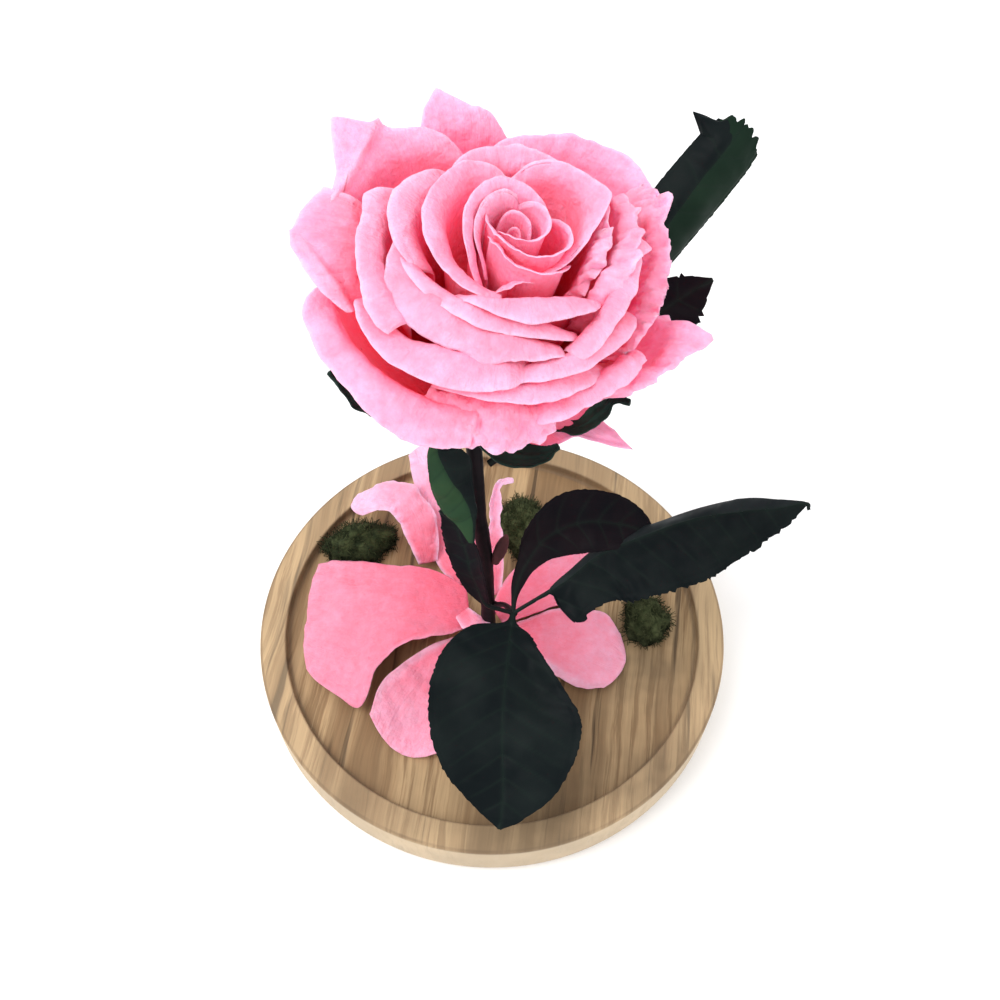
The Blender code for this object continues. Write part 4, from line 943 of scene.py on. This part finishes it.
for seed, (name, leaf) in enumerate(leaves.items()):
    addLeaf(name, leaf, 900 + 10 * seed)

# sepals hang from the hip: radius, azimuth, height and half width, in the head's own frame
sepals = dict(
    sepalLeft=dict(
        line=[(7.0, 208, -1.2, 2.2), (14, 213, 1.2, 2.3), (21.4, 217, 6.0, 2.0), (27.4, 215, 13.2, 1.5),
              (31.0, 208, 20.8, 0.4)],
    ),
    sepalFront=dict(
        line=[(7.0, 274, -1.4, 2.7), (13.5, 281, -0.2, 3.2), (18.6, 290, 1.8, 3.1), (21.8, 300, 4.6, 2.0),
              (22.8, 307, 7.4, 0.6)],
    ),
    sepalRight=dict(
        line=[(7.0, 316, -1.4, 1.8), (15, 319, 1.2, 1.6), (21.8, 322, 6.2, 1.6), (24.0, 327, 11.6, 1.8),
              (25.2, 331, 15.0, 1.3), (28, 332, 16.4, 0.5)],
    ),
    sepalBack=dict(line=[(7.0, 60, -1.4, 2.6), (15, 58, 1.0, 3.4), (22, 56, 4, 2.6), (29, 55, 3, 0.7)]),
    sepalBackLeft=dict(
        line=[(7.0, 130, -1.4, 2.6), (15, 132, 1.0, 3.4), (22, 134, 3, 2.6), (28, 136, 1, 0.7)],
    ),
)


def addSepal(name, sepal, seed):
    stations = []
    for radius, azimuth, height, half in sepal["line"]:
        angle = math.radians(azimuth)
        stations.append((radius * math.cos(angle), radius * math.sin(angle), height, half, half, 0.4, 0.4))
    grid, q, width, at, side, over = bladeSheet(stations, (0, 0, 1), 90, 25)
    grid = fromHead(grid)
    frill = 0.2 * np.abs(q)[None] ** 2 * ripples(at[:, None], width, 6.0, seed)
    frill += 0.05 * ripples(at[:, None] * 0.3, width, 1.2, seed + 1)
    grid = grid + frill[..., None] * sheetNormals(grid)
    midrib = np.exp(-(np.abs(width) / 0.45) ** 2)
    piece = shellFrom(name, grid, 0.32 + 0.5 * midrib, materials["sepalGreen"], dict(vein=midrib * 0.5))
    dress(piece)


for seed, (name, sepal) in enumerate(sepals.items()):
    addSepal(name, sepal, 1200 + 10 * seed)
print("leaves and sepals cut:", len(leaves) + len(sepals))

fallenForm = dict(rowSpacing=0.45, columns=61, edgeThickness=0.14, swell=0.26)
# arc: how far the end bulges out
fallenPetals = dict(
    fallenPetalLeft=dict(
        material="fallen", arc=1.5,
        line=[(-6.5, 5.6, 14.5, 7.6, 3.4, 0, 0), (-13, 4.8, 16.4, 10.6, 8.4, 0.4, -0.5),
              (-19.5, 3.8, 17.6, 11.6, 11, 1.0, -1), (-26, 2.6, 18, 13.4, 13, 1.6, -1.6),
              (-31.4, 1.6, 18, 18.4, 14.4, 0, -2), (-35.6, 1.0, 17.6, 26, 15.4, -3, -2),
              (-39.6, 0.6, 17.2, 23, 16.2, -3, -1.5), (-43.4, 0.4, 16.4, 19.4, 16.6, -2, -1.2),
              (-47.0, 0.4, 15.6, 15, 15.4, -1, -0.6)],
    ),
    fallenPetalLowerLeft=dict(
        material="fallenMid", arc=4.5,
        line=[(-4.5, -4.5, 12.5, 2.4, 2.4, 0, 0), (-10, -13, 13.5, 7, 8, 2, 2),
              (-16, -24, 13, 11, 12, 3, 4), (-20, -31.5, 12.2, 9.4, 11, 1.5, 2)],
    ),
    fallenPetalRight=dict(
        material="fallenMid", arc=3.5,
        line=[(5.5, -2.5, 12.6, 2.4, 2.4, 0, 0), (16, -4.5, 14, 8, 10, 1, 1.5),
              (25, -7.5, 14, 10.5, 12, 1, 1), (31, -9.6, 12.6, 7, 9.4, 0.5, 0.5)],
    ),
    fallenPetalBack=dict(
        material="fallen", arc=2.5,
        line=[(1.2, 2.4, 12.4, 2.6, 3.4, 0, 0), (6.0, 5.4, 13.6, 6.4, 5.0, 0.6, 0.6),
              (13, 10, 14, 9, 7, 1, 1), (21, 15, 14, 9, 8, 1, 1), (27, 19, 12.6, 6, 5, 0.5, 0.5)],
    ),
    fallenPetalBackNarrow=dict(
        material="fallenPale", arc=1.0,
        line=[(1.0, 8.5, 12.4, 1.4, 1.4, 0, 0), (0.4, 18, 19, 2.6, 2.4, 1, 1),
              (0.2, 26.5, 23.5, 1.5, 1.5, 1, 1), (0.9, 33.5, 26, 1.1, 1.1, 1, 1),
              (4.2, 37.5, 25, 1.5, 1.5, 0, 0)],
    ),
    fallenPetalCurled=dict(
        material="fallenPale", arc=2.0,
        line=[(-17.6, 17.5, 13.8, 2.6, 2.6, 0, 0), (-18.6, 21.5, 19, 4.2, 4.2, -0.8, -0.8),
              (-20.6, 26, 24.5, 5.0, 5.0, -1.4, -1.4), (-25.2, 30.0, 27.6, 4.9, 4.9, -1.6, -1.6),
              (-31.4, 31.2, 26.6, 4.5, 4.5, -1.6, -1.6), (-36.8, 30.0, 23.0, 3.2, 3.2, -1.2, -1.2)],
    ),
    fallenPetalBackLeft=dict(
        material="fallenPale", arc=1.5,
        line=[(-7.6, 12, 12.2, 3, 3, 0, 0), (-9.4, 20, 13.6, 6.4, 5.6, -0.5, 0.5),
              (-11.4, 29, 18, 6.6, 6, -0.5, 0.5), (-16, 40, 24.5, 6.6, 7.5, -0.5, 0.5),
              (-19, 46, 27.2, 5, 5.5, 0, 0)],
    ),
    fallenPetalSmall=dict(
        material="fallenPale", arc=1.0,
        line=[(-8, 1.4, 15.5, 2.2, 2.2, 0, 0), (-3.8, -3.0, 17.8, 3.4, 3.4, -1.5, -1.5),
              (2.0, -6.0, 16, 2.4, 2.4, -1, -1)],
    ),
)


def addFallenPetal(name, petal, seed):
    rows = int(lengthOf(petal["line"]) / fallenForm["rowSpacing"])
    grid, q, width, at, side, over = bladeSheet(petal["line"], (0, 0, 1), rows, fallenForm["columns"])
    along = (at / at[-1])[:, None]
    toEnd = at[-1] - at
    edge = np.minimum(np.abs(width[:, :1]) - np.abs(width), toEnd[:, None])
    free = np.clip(along * 2.0, 0, 1)
    bulge = petal["arc"] * along**3 * (1 - q[None] ** 2)
    grid = grid + bulge[..., None] * np.cross(over, side)[:, None]
    wave = 0.45 * free * ripples(at[:, None], width, 14.0, seed)
    wave += 0.07 * free * ripples(at[:, None] * 0.4, width, 2.6, seed + 1)
    wave += 0.2 * np.exp(-np.maximum(edge, 0) / 2.5) * ripples(at[:, None], width, 5.0, seed + 2)
    grid = grid + wave[..., None] * sheetNormals(grid)
    rise = along + 0 * width
    inner = 1 - np.exp(-np.maximum(edge, 0) / 0.6)
    thick = fallenForm["edgeThickness"] + fallenForm["swell"] * inner
    attributes = dict(rise=rise, edge=np.exp(-np.maximum(edge, 0) / 1.4))
    piece = shellFrom(name, grid, thick, materials[petal["material"]], attributes)
    dress(piece)


for seed, (name, petal) in enumerate(fallenPetals.items()):
    addFallenPetal(name, petal, 1500 + 10 * seed)
print("fallen petals laid:", len(fallenPetals))


# the hip under the flower
def addHip():
    radius, height = head["hipRadius"], head["hipHeight"]
    outline = np.array([(0.34, -1.0), (0.5, -0.9), (0.66, -0.74), (0.84, -0.52), (0.98, -0.26),
                        (0.99, -0.1), (0.93, 0.0)])
    read = smoothThrough(outline, np.linspace(0, 1, 28)) * (radius, height)
    turn = np.linspace(0, 2 * math.pi, 64, endpoint=False)
    uneven = 1 + 0.02 * np.sin(5 * turn)[None] + 0.012 * np.sin(9 * turn + 1)[None]
    ring = read[:, :1] * uneven
    points = np.stack([ring * np.cos(turn), ring * np.sin(turn), read[:, 1:] + 0 * turn[None]], -1)
    rows, sides = points.shape[:2]
    index = np.arange(rows * sides).reshape(rows, sides)
    after = np.roll(index, -1, axis=1)
    faces = np.stack([index[:-1], after[:-1], after[1:], index[1:]], -1).reshape(-1, 4).tolist()
    faces += [index[0, ::-1].tolist(), index[-1].tolist()]
    piece = meshFrom("roseHip", fromHead(points.reshape(-1, 3)), faces, materials["hipGreen"])
    dress(piece)


addHip()


# moss: fibres grown on a lumpy form that stays inside the solid's reach
mossTufts = dict(
    mossLeft=dict(place=(-36.6, 24.2), half=(12.0, 7.4), tall=7.0, turn=20.0, tone="mossDark"),
    mossBack=dict(place=(8.0, 30.5), half=(8.4, 11.2), tall=7.0, turn=0.0, tone="mossOlive"),
    mossRight=dict(place=(40.5, 1.5), half=(6.8, 8.0), tall=5.5, turn=0.0, tone="mossOlive"),
)
mossTones = dict(mossDark=((0.018, 0.026, 0.009, 1), (0.055, 0.068, 0.026, 1)),
                 mossOlive=((0.03, 0.04, 0.013, 1), (0.085, 0.10, 0.042, 1)))
mossFibre = dict(Length=2.2, Thickness=0.09, Spread=1.15, Density=2.6)
mossCore = 0.83  # the lumpy form's share of a tuft; the fibres reach out over the rest


def mossMaterial(name, deep, pale):
    material, net, shader, _ = newMaterial(name, {"Roughness": 0.85, "Specular IOR Level": 0.2})
    body = net.body()
    tone = net.mix(net.remap(net.noise(body, 420.0, 3.0), 0.38, 0.64), deep, pale)
    high = net.add("ShaderNodeSeparateXYZ", {0: body}).outputs[2]
    shade = net.remap(high, bed * mm, (bed + 5.0) * mm, 0.25, 1.0)
    tone = net.shade(tone, shade, shade, shade)
    net.link(tone, shader.inputs["Base Color"])
    net.bump(shader, net.noise(body, 2600.0, 2.0), 0.5, 0.1)
    return material


def mossTree():
    inputs = dict(Density=1.0, Length=2.0, Thickness=0.1, Spread=1.0, Seed=1, Material=None)
    net, given, put = geometryNet("mossFibres", inputs)
    length = net.times(given["Length"], mm)
    bend = net.vector(net.times(length, 0.1), 0.0, net.times(length, 0.55))
    end = net.vector(net.times(length, 0.55), 0.0, net.times(length, 0.85))
    strand = net.add("GeometryNodeCurveQuadraticBezier",
                     {"Resolution": 4, "Start": (0, 0, 0), "Middle": bend, "End": end})
    ring = net.add("GeometryNodeCurvePrimitiveCircle",
                   {"Resolution": 3, "Radius": net.times(given["Thickness"], mm)})
    fibre = net.out("GeometryNodeCurveToMesh", {"Curve": strand.outputs[0],
                                                "Profile Curve": ring.outputs[0], "Fill Caps": True})
    points = net.add("GeometryNodeDistributePointsOnFaces",
                     {"Mesh": given["Geometry"], "Density": net.times(given["Density"], 1e6),
                      "Seed": given["Seed"]})
    lean = net.add("FunctionNodeRandomValue", {"Seed": given["Seed"]}, data_type="FLOAT_VECTOR")
    back = net.times(given["Spread"], -1.0)
    low = net.vector(back, back, -math.pi)
    high = net.vector(given["Spread"], given["Spread"], math.pi)
    net.link(low, lean.inputs[0])
    net.link(high, lean.inputs[1])
    turn = net.out("FunctionNodeEulerToRotation", {0: lean.outputs[0]})
    turned = net.out("FunctionNodeRotateRotation",
                     {"Rotation": points.outputs["Rotation"], "Rotate By": turn}, rotation_space="LOCAL")
    size = net.add("FunctionNodeRandomValue", {2: 0.5, 3: 1.15,
                                               "Seed": net.plus(given["Seed"], 7.0)}).outputs[1]
    tuft = net.add("GeometryNodeInstanceOnPoints",
                   {"Points": points.outputs["Points"], "Instance": fibre, "Rotation": turned,
                    "Scale": size})
    both = net.add("GeometryNodeJoinGeometry")
    net.link(tuft.outputs[0], both.inputs[0])
    net.link(given["Geometry"], both.inputs[0])
    return net.finish(both.outputs[0], given["Material"], put)


mossMaterials = {name: mossMaterial(name, *tones) for name, tones in mossTones.items()}
mossFibres = mossTree()


def mossForm(tuft):
    form = bmesh.new()
    bmesh.ops.create_icosphere(form, subdivisions=4, radius=mossCore)
    spin = Matrix.Rotation(math.radians(tuft["turn"]), 3, "Z")
    x, y = tuft["place"]
    for point in form.verts:
        p = point.co.copy()
        lump = 1 + 0.14 * math.sin(7 * p.x + x) * math.sin(6 * p.y + y)
        lump += 0.11 * math.sin(11 * p.z + 9 * p.x) * math.sin(9 * p.y)
        wide = spin @ Vector((p.x * tuft["half"][0] * lump, p.y * tuft["half"][1] * lump, 0))
        high = bed + 0.35 + tuft["tall"] * max(0.0, p.z) * lump
        point.co = (Vector((x, y, 0)) + Vector((wide.x, wide.y, high))) * mm
    mesh = bpy.data.meshes.new("mossForm")
    form.to_mesh(mesh)
    form.free()
    return mesh


for seed, (name, tuft) in enumerate(mossTufts.items()):
    values = dict(mossFibre, Seed=40 + seed, Material=mossMaterials[tuft["tone"]])
    piece = growth(name, mossForm(tuft), mossFibres, values)
    dress(piece)
    print(name, "has", len(piece.data.polygons), "faces")
print("moss grown")
